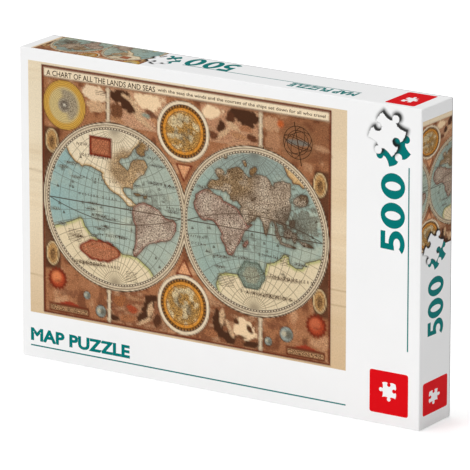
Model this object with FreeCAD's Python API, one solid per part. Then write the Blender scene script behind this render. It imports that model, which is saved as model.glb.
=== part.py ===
"""Boxed 500-piece jigsaw puzzle: a telescoping rigid box, a sealed film bag and the loose cut pieces.

The box stands on one long side wall. X runs along the picture's width, Z up its height, and Y from the
lid's front panel (-Y) to the tray's back panel (+Y). The origin is the middle of the side it stands on.
Lid and tray are each a folded greyboard shell, four corner stays that hold the shell's corners, and a
paper wrap glued over both and turned in over the rim. The cut pieces lie flat against each other in
upright layers inside the bag, heaped towards the middle. All sizes are in millimetres.
"""

import FreeCAD
import Part

import math
import os
import random

V = FreeCAD.Vector

# ---- the box ----
BOX_WIDTH = 335.0            # outside, along X
BOX_HEIGHT = 230.0           # outside, along Z
BOX_DEPTH = 42.0             # outside, along Y, from the lid's front to the tray's back
BOARD = 1.3                  # greyboard of both shells
PAPER = 0.15                 # printed wrap, glued to the board
BOARD_ROUND = 0.9            # outside radius of the board's folded edges
TURN_IN = 16.0               # how far the wrap reaches inside the rim
LID_GAP = 0.5                # free space between the lid's turn-in and the tray, on each side
RIM_REVEAL = 1.0             # the lid's rim stops this far short of the tray's back face
TRAY_RIM_GAP = 0.6           # the tray's rim stops this far short of the lid's front panel

# ---- corner stays: gummed paper angles pressed flush into the board's corners ----
STAY_PAPER = 0.12
STAY_LEG = 14.0              # length of each leg, from the corner's outside
STAY_END = 2.0               # how far a stay stops short of the panel's fold and of the rim

# ---- the puzzle ----
PUZZLE_WIDTH = 470.0         # the finished picture
PUZZLE_HEIGHT = 330.0
COLUMNS = 25
ROWS = 20
PIECE_THICKNESS = 2.0
KERF = 0.06                  # taken off each cut edge, so that neighbours part
KNOB_RADIUS = 2.0
KNOB_FILLET = 0.95           # radius of the neck's two hollows
KNOB_RISE = 2.9              # knob's centre above its edge
CORNER_WANDER = 0.25         # how far the cut lines' crossings stray
KNOB_WANDER = 0.9            # how far a knob strays along its edge

# ---- the bag ----
FILM = 0.15
BAG_SLACK = 0.35             # free space between the film and the nearest piece
BAG_GAP = 0.4                # free space under the bag
SEAL_HEIGHT = 12.0           # the flat heat seal along the bag's top
SEAL_THICKNESS = 1.0
NECK_HEIGHT = 24.0           # empty film between the heap and the seal
FOOT_CHAMFER = 1.2           # the bag's bottom corners, seen from its end

# ---- how the pieces lie in the bag ----
TILT = 1.2                   # most that a piece leans out of its layer, in degrees
PIECE_CLEAR = 0.3            # free space between two pieces' places
LAYER_SHIFT = 4.0            # how far a layer strays sideways
SHOULDER = (0, 2)            # columns and layers that the heap's last tier but one is short of a full one
CROWN = (3, 6)               # and those that its topmost tier is short of
SEED = 500


# ---------------------------------------------------------------- worked-out sizes

SHEET_STEP_X = PUZZLE_WIDTH / COLUMNS
SHEET_STEP_Y = PUZZLE_HEIGHT / ROWS
PIECE_REACH = max(SHEET_STEP_X, SHEET_STEP_Y) / 2 + KNOB_RISE + KNOB_RADIUS + CORNER_WANDER
CELL = 2 * PIECE_REACH + PIECE_CLEAR
LAYER = PIECE_THICKNESS + 2 * PIECE_REACH * math.sin(math.radians(TILT)) + PIECE_CLEAR

WALL = PAPER + BOARD + PAPER                           # wrap, board and turn-in
TRAY_INSET = WALL + LID_GAP                            # lid's outside to tray's outside
TRAY_FLOOR = TRAY_INSET + WALL                         # lid's outside to the inside of the tray's wall
BAG_SPACE = BAG_GAP + FILM + BAG_SLACK                 # from the tray's inside to the nearest piece
FRONT = -BOX_DEPTH / 2
BACK = BOX_DEPTH / 2
LID_RIM = BACK - RIM_REVEAL
TRAY_RIM = FRONT + PAPER + BOARD + TRAY_RIM_GAP


def heap():
    """The heap's tiers from the bottom, as (columns, layers): full ones, then a shoulder and a crown."""
    inside_width = BOX_WIDTH - 2 * (TRAY_FLOOR + BAG_SPACE + LAYER_SHIFT)
    inside_depth = BOX_DEPTH - 2 * (PAPER + BOARD + BAG_SPACE)
    full = (int(inside_width // CELL), int(inside_depth // LAYER))
    shoulder, crown = ((full[0] - less[0], full[1] - less[1]) for less in (SHOULDER, CROWN))
    left = ROWS * COLUMNS
    tiers = []
    while left > shoulder[0] * shoulder[1] + crown[0] * crown[1]:
        tiers.append(full)
        left -= full[0] * full[1]
    tiers.append(shoulder)
    if left > shoulder[0] * shoulder[1]:
        tiers.append(crown)
    return tiers


HEAP = heap()


def box_between(low, high):
    """A plain block between two opposite corners, given in any order."""
    a = [min(p, q) for p, q in zip(low, high)]
    b = [max(p, q) for p, q in zip(low, high)]
    return Part.makeBox(b[0] - a[0], b[1] - a[1], b[2] - a[2], V(*a))


# ---------------------------------------------------------------- rigid box shells

class Shell:
    """One half of the box: five board panels folded from one blank, open on the side of its rim."""

    def __init__(self, inset, panel, rim):
        """inset is from the box's outside to this half's outside; panel and rim are Y positions."""
        self.half_width = BOX_WIDTH / 2 - inset
        self.bottom = inset
        self.top = BOX_HEIGHT - inset
        self.panel = panel
        self.rim = rim
        self.way = 1.0 if rim > panel else -1.0        # from the panel towards the rim

    def block(self, inset, from_panel, from_rim):
        """The half's outline taken in by inset all round, with its two ends taken in along Y."""
        return box_between(
            (-self.half_width + inset, self.panel + self.way * from_panel, self.bottom + inset),
            (self.half_width - inset, self.rim - self.way * from_rim, self.top - inset),
        )

    def rounded_block(self, inset, from_rim, radius):
        """As block, with the panel's outline and the four folds along Y rounded."""
        block = self.block(inset, inset, from_rim)
        rim_y = self.rim - self.way * from_rim
        edges = [
            e for e in block.Edges
            if any(abs(v.Point.y - rim_y) > 1e-6 for v in e.Vertexes)
        ]
        return block.makeFillet(radius, edges)

    def board_outside(self):
        return self.rounded_block(PAPER, PAPER, BOARD_ROUND)

    def stays(self):
        """The four corner stays, as {corner name: solid}."""
        skin = self.board_outside()
        pressed = self.block(PAPER + STAY_PAPER, PAPER + STAY_PAPER, 0.0)
        along_y = [e for e in pressed.Edges if abs(e.Vertexes[0].Point.y - e.Vertexes[1].Point.y) > 1e-6]
        layer = skin.cut(pressed.makeFillet(BOARD_ROUND - STAY_PAPER, along_y))
        near = self.panel + self.way * (PAPER + BOARD_ROUND + STAY_END)
        far = self.rim - self.way * (PAPER + STAY_END)
        reach = PAPER + STAY_LEG
        found = {}
        for side, x in (("left", -self.half_width), ("right", self.half_width)):
            for level, z in (("bottom", self.bottom), ("top", self.top)):
                inward_x = -math.copysign(reach, x)
                inward_z = reach if level == "bottom" else -reach
                corner = box_between((x, near, z), (x + inward_x, far, z + inward_z))
                found[level + "_" + side] = layer.common(corner)
        return found

    def folded(self, shell):
        """The shell parted along its folds: its panel, its bottom and top walls and, between them, its sides."""
        fold = self.panel + self.way * (PAPER + BOARD)
        x = self.half_width
        end = self.rim
        low = self.bottom
        high = self.top
        regions = [
            box_between((-x, self.panel, low), (x, fold, high)),
            box_between((-x, fold, low), (x, end, low + WALL)),
            box_between((-x, fold, high - WALL), (x, end, high)),
            box_between((-x, fold, low + WALL), (WALL - x, end, high - WALL)),
            box_between((x - WALL, fold, low + WALL), (x, end, high - WALL)),
        ]
        return [shell.common(region).Solids[0] for region in regions]

    def board(self, stays):
        """The greyboard blank, scored through at its folds, with each stay pressed flush into its corner."""
        hollow = self.block(PAPER + BOARD, PAPER + BOARD, -BOARD)
        shell = self.board_outside().cut(hollow)
        for stay in stays.values():
            shell = shell.cut(stay)
        return self.folded(shell)

    def wrap(self):
        """The paper wrap's five flaps: over the outside, round the rim and TURN_IN down inside the walls."""
        skin = self.rounded_block(0.0, 0.0, BOARD_ROUND + PAPER)
        board = self.board_outside().cut(self.block(PAPER + BOARD, PAPER + BOARD, -BOARD))
        hollow = self.block(PAPER + BOARD, PAPER + BOARD, PAPER + TURN_IN)
        mouth = self.block(WALL, PAPER + BOARD, -BOARD)
        return self.folded(skin.cut(board).cut(hollow).cut(mouth))


LID = Shell(0.0, FRONT, LID_RIM)
TRAY = Shell(TRAY_INSET, BACK, TRAY_RIM)


# ---------------------------------------------------------------- cut pieces

class Cut:
    """The die's cutting lines: where they cross, and which way each knob points."""

    def __init__(self):
        draw = random.Random(SEED)
        self.crossing = {}
        for r in range(ROWS + 1):
            for c in range(COLUMNS + 1):
                inner_x = 0 < c < COLUMNS
                inner_y = 0 < r < ROWS
                dx = draw.uniform(-CORNER_WANDER, CORNER_WANDER) if inner_x else 0.0
                dy = draw.uniform(-CORNER_WANDER, CORNER_WANDER) if inner_y else 0.0
                self.crossing[r, c] = (c * SHEET_STEP_X + dx, r * SHEET_STEP_Y + dy)
        self.knob = {}
        for r in range(ROWS + 1):
            for c in range(COLUMNS + 1):
                for way in ("along_x", "along_y"):
                    side = draw.choice((-1, 1))
                    self.knob[way, r, c] = (side, draw.uniform(-KNOB_WANDER, KNOB_WANDER))

    def side(self, way, r, c):
        """One cut edge from crossing (r, c), as segments ("line", end) or ("arc", middle, end)."""
        start = self.crossing[r, c]
        end = self.crossing[(r, c + 1) if way == "along_x" else (r + 1, c)]
        rim = r in (0, ROWS) if way == "along_x" else c in (0, COLUMNS)
        if rim:
            return start, [("line", end)]
        length = math.dist(start, end)
        u = ((end[0] - start[0]) / length, (end[1] - start[1]) / length)
        side, offset = self.knob[way, r, c]
        n = (-u[1] * side, u[0] * side)

        def at(along, up):
            return (start[0] + u[0] * along + n[0] * up, start[1] + u[1] * along + n[1] * up)

        middle = length / 2 + offset
        rise = KNOB_RISE - KNOB_FILLET
        reach = KNOB_RADIUS + KNOB_FILLET
        spread = math.sqrt(reach**2 - rise**2)
        lean = math.atan2(rise, spread)                # from a hollow's centre to the knob's
        half = (lean - math.pi / 2) / 2                # middle of the hollow's arc
        hollow = (KNOB_FILLET * math.cos(half), KNOB_FILLET * (1 + math.sin(half)))
        neck = (KNOB_FILLET * math.cos(lean), KNOB_FILLET * (1 + math.sin(lean)))
        return start, [
            ("line", at(middle - spread, 0.0)),
            ("arc", at(middle - spread + hollow[0], hollow[1]), at(middle - spread + neck[0], neck[1])),
            ("arc", at(middle, KNOB_RISE + KNOB_RADIUS), at(middle + spread - neck[0], neck[1])),
            ("arc", at(middle + spread - hollow[0], hollow[1]), at(middle + spread, 0.0)),
            ("line", end),
        ]

    def outline(self, r, c):
        """The outline of the piece in row r and column c, about the middle of its square, on its back face."""
        middle = ((c + 0.5) * SHEET_STEP_X, (r + 0.5) * SHEET_STEP_Y)
        edges = []
        for way, row, column, forward in (
            ("along_x", r, c, True),
            ("along_y", r, c + 1, True),
            ("along_x", r + 1, c, False),
            ("along_y", r, c, False),
        ):
            start, segments = self.side(way, row, column)
            here = start
            run = []
            for segment in segments:
                points = [here, *segment[1:]]
                run.append(points if forward else points[::-1])
                here = segment[-1]
            edges += run if forward else run[::-1]
        shapes = []
        for points in edges:
            p = [V(x - middle[0], y - middle[1], -PIECE_THICKNESS / 2) for x, y in points]
            shapes.append(Part.LineSegment(*p) if len(p) == 2 else Part.Arc(*p))
        return Part.Wire([s.toShape() for s in shapes])

    def piece(self, r, c):
        """One piece, lying in the XY plane with its middle at the origin and its picture side up."""
        face = Part.Face(self.outline(r, c).makeOffset2D(-KERF, join=2))
        return face.extrude(V(0, 0, PIECE_THICKNESS))


def places():
    """Where each of the pieces lies in the bag: tier, layer and column, each with its own leanings."""
    draw = random.Random(SEED + 1)
    found = []
    base = TRAY_FLOOR + BAG_SPACE
    for tier, (columns, layers) in enumerate(HEAP):
        for layer in range(layers):
            shift = draw.uniform(-LAYER_SHIFT, LAYER_SHIFT)
            y = (layer - (layers - 1) / 2) * LAYER
            for column in range(columns):
                x = (column - (columns - 1) / 2) * CELL + shift
                z = base + PIECE_REACH + tier * CELL
                yaw = draw.uniform(0.0, 360.0)
                lean = draw.uniform(-TILT, TILT)
                lean_way = draw.uniform(0.0, 360.0)
                shows_back = draw.random() < 0.4
                found.append((V(x, y, z), yaw, lean, lean_way, shows_back))
    draw.shuffle(found)
    return found[: ROWS * COLUMNS]


def laid(piece, place):
    """The piece in its place: upright, facing the front or the back, turned and slightly leaning."""
    middle, yaw, lean, lean_way, shows_back = place
    turned = FreeCAD.Rotation(V(0, 0, 1), yaw)
    tipped = FreeCAD.Rotation(V(math.cos(math.radians(lean_way)), math.sin(math.radians(lean_way)), 0), lean)
    facing = FreeCAD.Rotation(V(1, 0, 0), -90 if shows_back else 90)
    piece.Placement = FreeCAD.Placement(middle, facing.multiply(tipped).multiply(turned))
    return piece


# ---------------------------------------------------------------- bag

def bag_section(grow):
    """The bag's outline seen from its end, in Y and Z, grown by grow: full at the foot, thin at the seal."""
    foot = TRAY_FLOOR + BAG_GAP + FILM - grow
    inside = BAG_SLACK + grow
    base = TRAY_FLOOR + BAG_SPACE
    halves = [layers * LAYER / 2 + inside for _, layers in HEAP]
    tops = [base + (tier + 1) * CELL for tier in range(len(HEAP))]
    full = max(halves)
    right = [(full - FOOT_CHAMFER / 2, foot), (full, foot + FOOT_CHAMFER)]
    last = full
    for half, top, below in zip(halves, tops, [tops[0], *tops]):
        if half < last:
            right.append((last, below))
        last = half
    right.append((halves[-1], tops[-1] + grow))
    seal_foot = tops[-1] + NECK_HEIGHT
    right.append((SEAL_THICKNESS / 2 - FILM + grow, seal_foot))
    right.append((SEAL_THICKNESS / 2 - FILM + grow, seal_foot + (SEAL_HEIGHT if grow else -SEAL_HEIGHT / 4)))
    return right


def bag():
    """The closed film bag: a pillow with full sides and a flat seal along its top, hollow all through."""
    widest = max(columns for columns, _ in HEAP)
    half_width = widest * CELL / 2 + LAYER_SHIFT + BAG_SLACK

    def solid(grow):
        right = bag_section(grow)
        loop = right + [(-y, z) for y, z in reversed(right)]
        half = half_width + grow
        wire = Part.makePolygon([V(-half, y, z) for y, z in loop + loop[:1]])
        return Part.Face(wire).extrude(V(2 * half, 0, 0))

    return solid(FILM).cut(solid(0.0))


# ---------------------------------------------------------------- writing the parts

def save(name, solids):
    """Writes one node, a single solid or a group of separate ones, to parts/NAME.step."""
    shape = solids[0] if len(solids) == 1 else Part.makeCompound(solids)
    for solid in solids:
        if not solid.isValid() or len(solid.Solids) != 1:
            raise ValueError(f"{name}: a solid is not valid")
    shape.exportStep(os.path.join("parts", name + ".step"))
    box = shape.BoundBox
    print(f"{name}: {len(solids)} solids, {box.XLength:.2f} x {box.YLength:.2f} x {box.ZLength:.2f}")


def main():
    os.makedirs("parts", exist_ok=True)
    for name, shell in (("lid", LID), ("tray", TRAY)):
        stays = shell.stays()
        save(name + "_board", shell.board(stays))
        save(name + "_wrap", shell.wrap())
        for corner, stay in stays.items():
            save(f"{name}_stay_{corner}", [stay.Solids[0]])
    save("bag_film", [bag().Solids[0]])
    cut = Cut()
    where = places()
    for r in range(ROWS):
        pieces = [laid(cut.piece(r, c), where[r * COLUMNS + c]) for c in range(COLUMNS)]
        save(f"puzzle_row_{r + 1:02d}", pieces)


main()
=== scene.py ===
"""Looks of a boxed 500-piece jigsaw puzzle: the printed telescoping box, its clear bag and the loose pieces.

Sizes are in millimetres until a mesh is made, and in metres after that. The box stands on a long side wall:
X runs along the picture's width, Z up its height, and Y from the lid's front panel to the tray's back panel.
"""

import logging
import math
import random
from dataclasses import dataclass, field, replace
from enum import Enum, IntEnum

import bpy
import numpy as np
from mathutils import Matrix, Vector
from mathutils.geometry import delaunay_2d_cdt


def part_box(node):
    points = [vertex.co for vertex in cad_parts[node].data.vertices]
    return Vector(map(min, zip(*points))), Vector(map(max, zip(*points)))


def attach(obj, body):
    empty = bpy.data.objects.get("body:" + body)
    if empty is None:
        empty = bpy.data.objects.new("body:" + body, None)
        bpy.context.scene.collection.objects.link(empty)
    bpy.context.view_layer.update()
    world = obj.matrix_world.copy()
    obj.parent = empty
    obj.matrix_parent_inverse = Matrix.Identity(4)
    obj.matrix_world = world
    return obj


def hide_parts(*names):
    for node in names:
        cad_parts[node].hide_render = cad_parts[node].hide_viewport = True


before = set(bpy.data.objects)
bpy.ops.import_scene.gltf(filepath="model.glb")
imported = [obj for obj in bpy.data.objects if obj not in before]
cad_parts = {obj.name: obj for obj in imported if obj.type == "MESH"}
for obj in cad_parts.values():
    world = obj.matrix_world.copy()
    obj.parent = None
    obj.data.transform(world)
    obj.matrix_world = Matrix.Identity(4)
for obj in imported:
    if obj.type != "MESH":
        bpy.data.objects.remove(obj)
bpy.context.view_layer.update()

log = logging.getLogger("jigsaw_box")
MM = 0.001
GOLDEN = 0.618                       # spreads a run of shares evenly over 0 to 1
FAR = 12.0                           # a distance at which a place counts as far off, in millimetres
WELD_OFFSET = 3.17e-5                # keeps round numbers of millimetres off the edge between two weld cells

Array = np.ndarray
Socket = bpy.types.NodeSocket
Materials = dict[str, bpy.types.Material]


# ---------------------------------------------------------------- colours


def linear(code: str) -> tuple[float, float, float]:
    """Turns an sRGB hex colour into linear red, green and blue.

    Args:
        code: A colour such as "#f2f2f2".

    Returns:
        The three linear values, each from 0 to 1.
    """
    values = [int(code[i : i + 2], 16) / 255 for i in (1, 3, 5)]
    return tuple(v / 12.92 if v <= 0.04045 else ((v + 0.055) / 1.055) ** 2.4 for v in values)


def rgba(code: str) -> tuple[float, float, float, float]:
    """The linear colour with full alpha, as a shader socket takes it."""
    return (*linear(code), 1.0)


# ---------------------------------------------------------------- arrays of points


def blend(low: float, high: float, value: Array) -> Array:
    """A smooth step: 0 below low, 1 above high, and 3t^2 - 2t^3 between, with t the share of the way."""
    t = np.clip((value - low) / (high - low), 0, 1)
    return t * t * (3 - 2 * t)


def mottle(x: Array, y: Array, size: float, seed: int) -> Array:
    """Soft random patches: values on a square lattice, joined by smooth steps between its crossings.

    Args:
        x: Places across, in millimetres.
        y: Places down, in millimetres.
        size: The lattice's spacing in millimetres.
        seed: Which lattice of values to use.

    Returns:
        A value from 0 to 1 at each place.
    """
    lattice = np.random.default_rng(seed).random((128, 128))
    column, row = np.floor(x / size).astype(int), np.floor(y / size).astype(int)
    s, t = (blend(0, 1, v / size - np.floor(v / size)) for v in (x, y))
    corner = [[lattice[(row + j) % 128, (column + i) % 128] for i in (0, 1)] for j in (0, 1)]
    upper, lower = (corner[j][0] * (1 - s) + corner[j][1] * s for j in (0, 1))
    return upper * (1 - t) + lower * t


def grain(x: Array, y: Array, size: float, seed: int) -> Array:
    """Three mottles of halving size and weight, added up and spread back to 0 to 1."""
    layers = [mottle(x, y, size / 2**k, seed + k) / 2**k for k in range(3)]
    return np.clip((sum(layers) / 1.75 - 0.5) * 1.5 + 0.5, 0, 1)


def near_segments(points: Array, segments: Array) -> Array:
    """Distance from each point to the nearest of some straight segments.

    The nearest place on a segment a-b is a + t (b - a), with t the point's share of the way held to 0 to 1.

    Args:
        points: Places, of shape (n, 2).
        segments: Start and end places, of shape (m, 2, 2).

    Returns:
        The n distances.
    """
    best = np.full(len(points), 1e9)
    for start in range(0, len(points), 4096):
        p = points[start : start + 4096, None, :]
        a, d = segments[:, 0], segments[:, 1] - segments[:, 0]
        t = np.clip(((p - a) * d).sum(2) / np.maximum((d * d).sum(1), 1e-12), 0, 1)
        gap = p - a - t[..., None] * d
        best[start : start + 4096] = np.sqrt((gap * gap).sum(2).min(1))
    return best


def inside(points: Array, segments: Array) -> Array:
    """Whether each point lies in the closed outlines made by the segments, by counting crossings to its right.

    Args:
        points: Places, of shape (n, 2).
        segments: Every outline's segments together, of shape (m, 2, 2); an outline in another is a hole.

    Returns:
        n truth values.
    """
    found = np.zeros(len(points), bool)
    a, b = segments[:, 0], segments[:, 1]
    rise = np.where(b[:, 1] == a[:, 1], 1.0, b[:, 1] - a[:, 1])
    near = np.flatnonzero(((points >= segments.min((0, 1))) & (points <= segments.max((0, 1)))).all(1))
    for start in range(0, len(near), 2048):
        few = near[start : start + 2048]
        x, y = (points[few, i, None] for i in (0, 1))
        spans = (a[:, 1] > y) != (b[:, 1] > y)
        across = x < a[:, 0] + (y - a[:, 1]) / rise * (b[:, 0] - a[:, 0])
        found[few] = (spans & across).sum(1) % 2 == 1
    return found


def signed_distance(points: Array, segments: Array, reach: float = FAR) -> Array:
    """Distance to an outline, less than 0 inside it, and worked out only within reach of it.

    Args:
        points: Places, of shape (n, 2).
        segments: The outline's segments, of shape (m, 2, 2).
        reach: The distance at which a place counts as far off.

    Returns:
        The n signed distances.
    """
    low, high = segments.min((0, 1)) - reach, segments.max((0, 1)) + reach
    near = ((points > low) & (points < high)).all(1)
    result = np.full(len(points), reach)
    result[near] = near_segments(points[near], segments)
    result[near] *= np.where(inside(points[near], segments), -1, 1)
    return result


def loop_segments(loop: Array) -> Array:
    """The segments that join a closed loop's points, of shape (n, 2, 2)."""
    return np.stack([loop, np.roll(loop, -1, 0)], 1)


def arc(cx: float, cy: float, rx: float, ry: float, start: float, end: float, steps: int) -> Array:
    """Points on an ellipse's arc about (cx, cy): (cx + rx cos t, cy + ry sin t), from start to end in degrees."""
    t = np.radians(np.linspace(start, end, steps + 1))
    return np.stack([cx + rx * np.cos(t), cy + ry * np.sin(t)], 1)


def turned(loop: Array, degrees: float) -> Array:
    """A loop turned anticlockwise about (0, 0)."""
    a = math.radians(degrees)
    return loop @ np.array([[math.cos(a), math.sin(a)], [-math.sin(a), math.cos(a)]])


def tube_faces(rows: int, columns: int) -> Array:
    """The faces of a tube's grid, of shape (rows - 1, columns, 4), as indices into rings of points.

    Each face's corners go one ring on, then one point round, then back.
    """
    i, j = np.meshgrid(np.arange(rows - 1), np.arange(columns), indexing="ij")
    n = (j + 1) % columns
    return np.stack([i * columns + j, (i + 1) * columns + j, (i + 1) * columns + n, i * columns + n], 2)


def width_of(loops: list[Array]) -> float:
    """How far some outlines reach across, from x = 0."""
    return max(loop[:, 0].max() for loop in loops)


# ---------------------------------------------------------------- meshes


@dataclass
class Surface:
    """A mesh in the making: points in millimetres, faces with their finish, and values on the points."""

    points: list[Array] = field(default_factory=list)
    faces: list[list[int]] = field(default_factory=list)
    finishes: list[int] = field(default_factory=list)
    curved: list[bool] = field(default_factory=list)
    values: dict[str, list[tuple[int, Array]]] = field(default_factory=dict)
    count: int = 0

    def add(
        self, points: Array, faces: list[list[int]] | Array, finish: int | list[int] = 0, curved: bool = False,
        **values: Array,
    ) -> None:
        """Adds a patch.

        Args:
            points: The patch's points, of shape (n, 3).
            faces: Its faces, as indices into those points.
            finish: One material index for the patch, or one for each face.
            curved: Whether its faces are shaded as one curved surface.
            **values: An attribute's name and its values on the points.
        """
        self.points.append(np.asarray(points, float))
        rows = faces.tolist() if isinstance(faces, np.ndarray) else faces
        self.faces += [[i + self.count for i in face] for face in rows]
        self.finishes += [finish] * len(rows) if isinstance(finish, int) else finish
        self.curved += [curved] * len(rows)
        for name, value in values.items():
            self.values.setdefault(name, []).append((self.count, value))
        self.count += len(points)

    def make(self, name: str, materials: list[bpy.types.Material]) -> bpy.types.Object:
        """Welds the patches where they meet and makes the object.

        Args:
            name: The object's name.
            materials: Its material slots, in the order that the finishes count them.

        Returns:
            The object, at the origin.
        """
        points = np.concatenate(self.points)
        cells = np.round(points + WELD_OFFSET, 4)
        _, first, place = np.unique(cells, axis=0, return_index=True, return_inverse=True)
        place = place.ravel()
        faces, finishes, curved = [], [], []
        for face, finish, bent in zip(self.faces, self.finishes, self.curved):
            ring = [int(place[i]) for i in face]
            ring = [v for k, v in enumerate(ring) if v != ring[k - 1]]
            if len(set(ring)) > 2:
                faces.append(ring)
                finishes.append(finish)
                curved.append(bent)
        mesh = bpy.data.meshes.new(name)
        mesh.from_pydata((points[first] * MM).tolist(), [], faces)
        for attribute, parts in self.values.items():
            width = 1 if parts[0][1].ndim == 1 else parts[0][1].shape[1]
            whole = np.zeros((self.count, width), np.float32)
            told = np.zeros(self.count, bool)
            for start, value in parts:
                whole[start : start + len(value)] = value.reshape(len(value), width)
                told[start : start + len(value)] = True
            welded = np.zeros((len(first), width), np.float32)
            welded[place[told]] = whole[told]
            kind = {1: "FLOAT", 3: "FLOAT_VECTOR"}[width]
            made = mesh.attributes.new(attribute, kind, "POINT")
            made.data.foreach_set("value" if width == 1 else "vector", welded.ravel())
        for material in materials:
            mesh.materials.append(material)
        mesh.polygons.foreach_set("material_index", np.array(finishes, np.int32))
        mesh.polygons.foreach_set("use_smooth", np.array(curved))
        mesh.update()
        mesh.validate()
        made_object = bpy.data.objects.new(name, mesh)
        bpy.context.scene.collection.objects.link(made_object)
        return made_object


def triangulate(loops: list[Array], loose: Array) -> tuple[Array, Array]:
    """Triangulates the plane between some outlines, keeping every outline as edges.

    Args:
        loops: Closed outlines, each of shape (n, 2).
        loose: Further points, of shape (m, 2).

    Returns:
        The points, of shape (p, 2), and the triangles, anticlockwise, of shape (t, 3).
    """
    given, edges = [], []
    for loop in loops:
        first = sum(len(g) for g in given)
        edges += [(first + i, first + (i + 1) % len(loop)) for i in range(len(loop))]
        given.append(loop)
    points = np.concatenate([*given, loose]) if len(loose) else np.concatenate(given)
    made = delaunay_2d_cdt([Vector(p) for p in points.tolist()], edges, [], 0, 1e-4, True)
    found = np.array([points[ids[0]] if ids else v[:] for v, ids in zip(made[0], made[3])])
    triangles = np.array([t for t in made[2]])
    a, b, c = (found[triangles[:, i]] for i in range(3))
    area = (b[:, 0] - a[:, 0]) * (c[:, 1] - a[:, 1]) - (b[:, 1] - a[:, 1]) * (c[:, 0] - a[:, 0])
    triangles[area < 0] = triangles[area < 0][:, ::-1]
    return found, triangles[np.abs(area) > 1e-9]


# ---------------------------------------------------------------- the picture

SKY_DISC = (31.2, 29.1)              # the sky disc's centre on the map's sheet


class Land(Enum):
    """The engraver's landmasses: wash, colour of the coast's edge, and how closely the engraving fills them."""

    NORTH_AMERICA = ("#e9d7b6", "#b0802f", 0.22)
    SOUTH_AMERICA = ("#cbb49f", "#9a3f34", 0.72)
    AFRICA = ("#cbb39e", "#9a3f34", 0.76)
    EURASIA = ("#c3ad92", "#6f5236", 0.80)
    FAR_AMERICA = ("#d9b27c", "#8a5b2c", 0.30)
    ISLAND = ("#8f7a60", "#4d3828", 0.85)
    ISLE = ("#b9915c", "#7a5630", 0.60)
    SOUTHERN = ("#e0cda9", "#a6a95e", 0.12)


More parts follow.
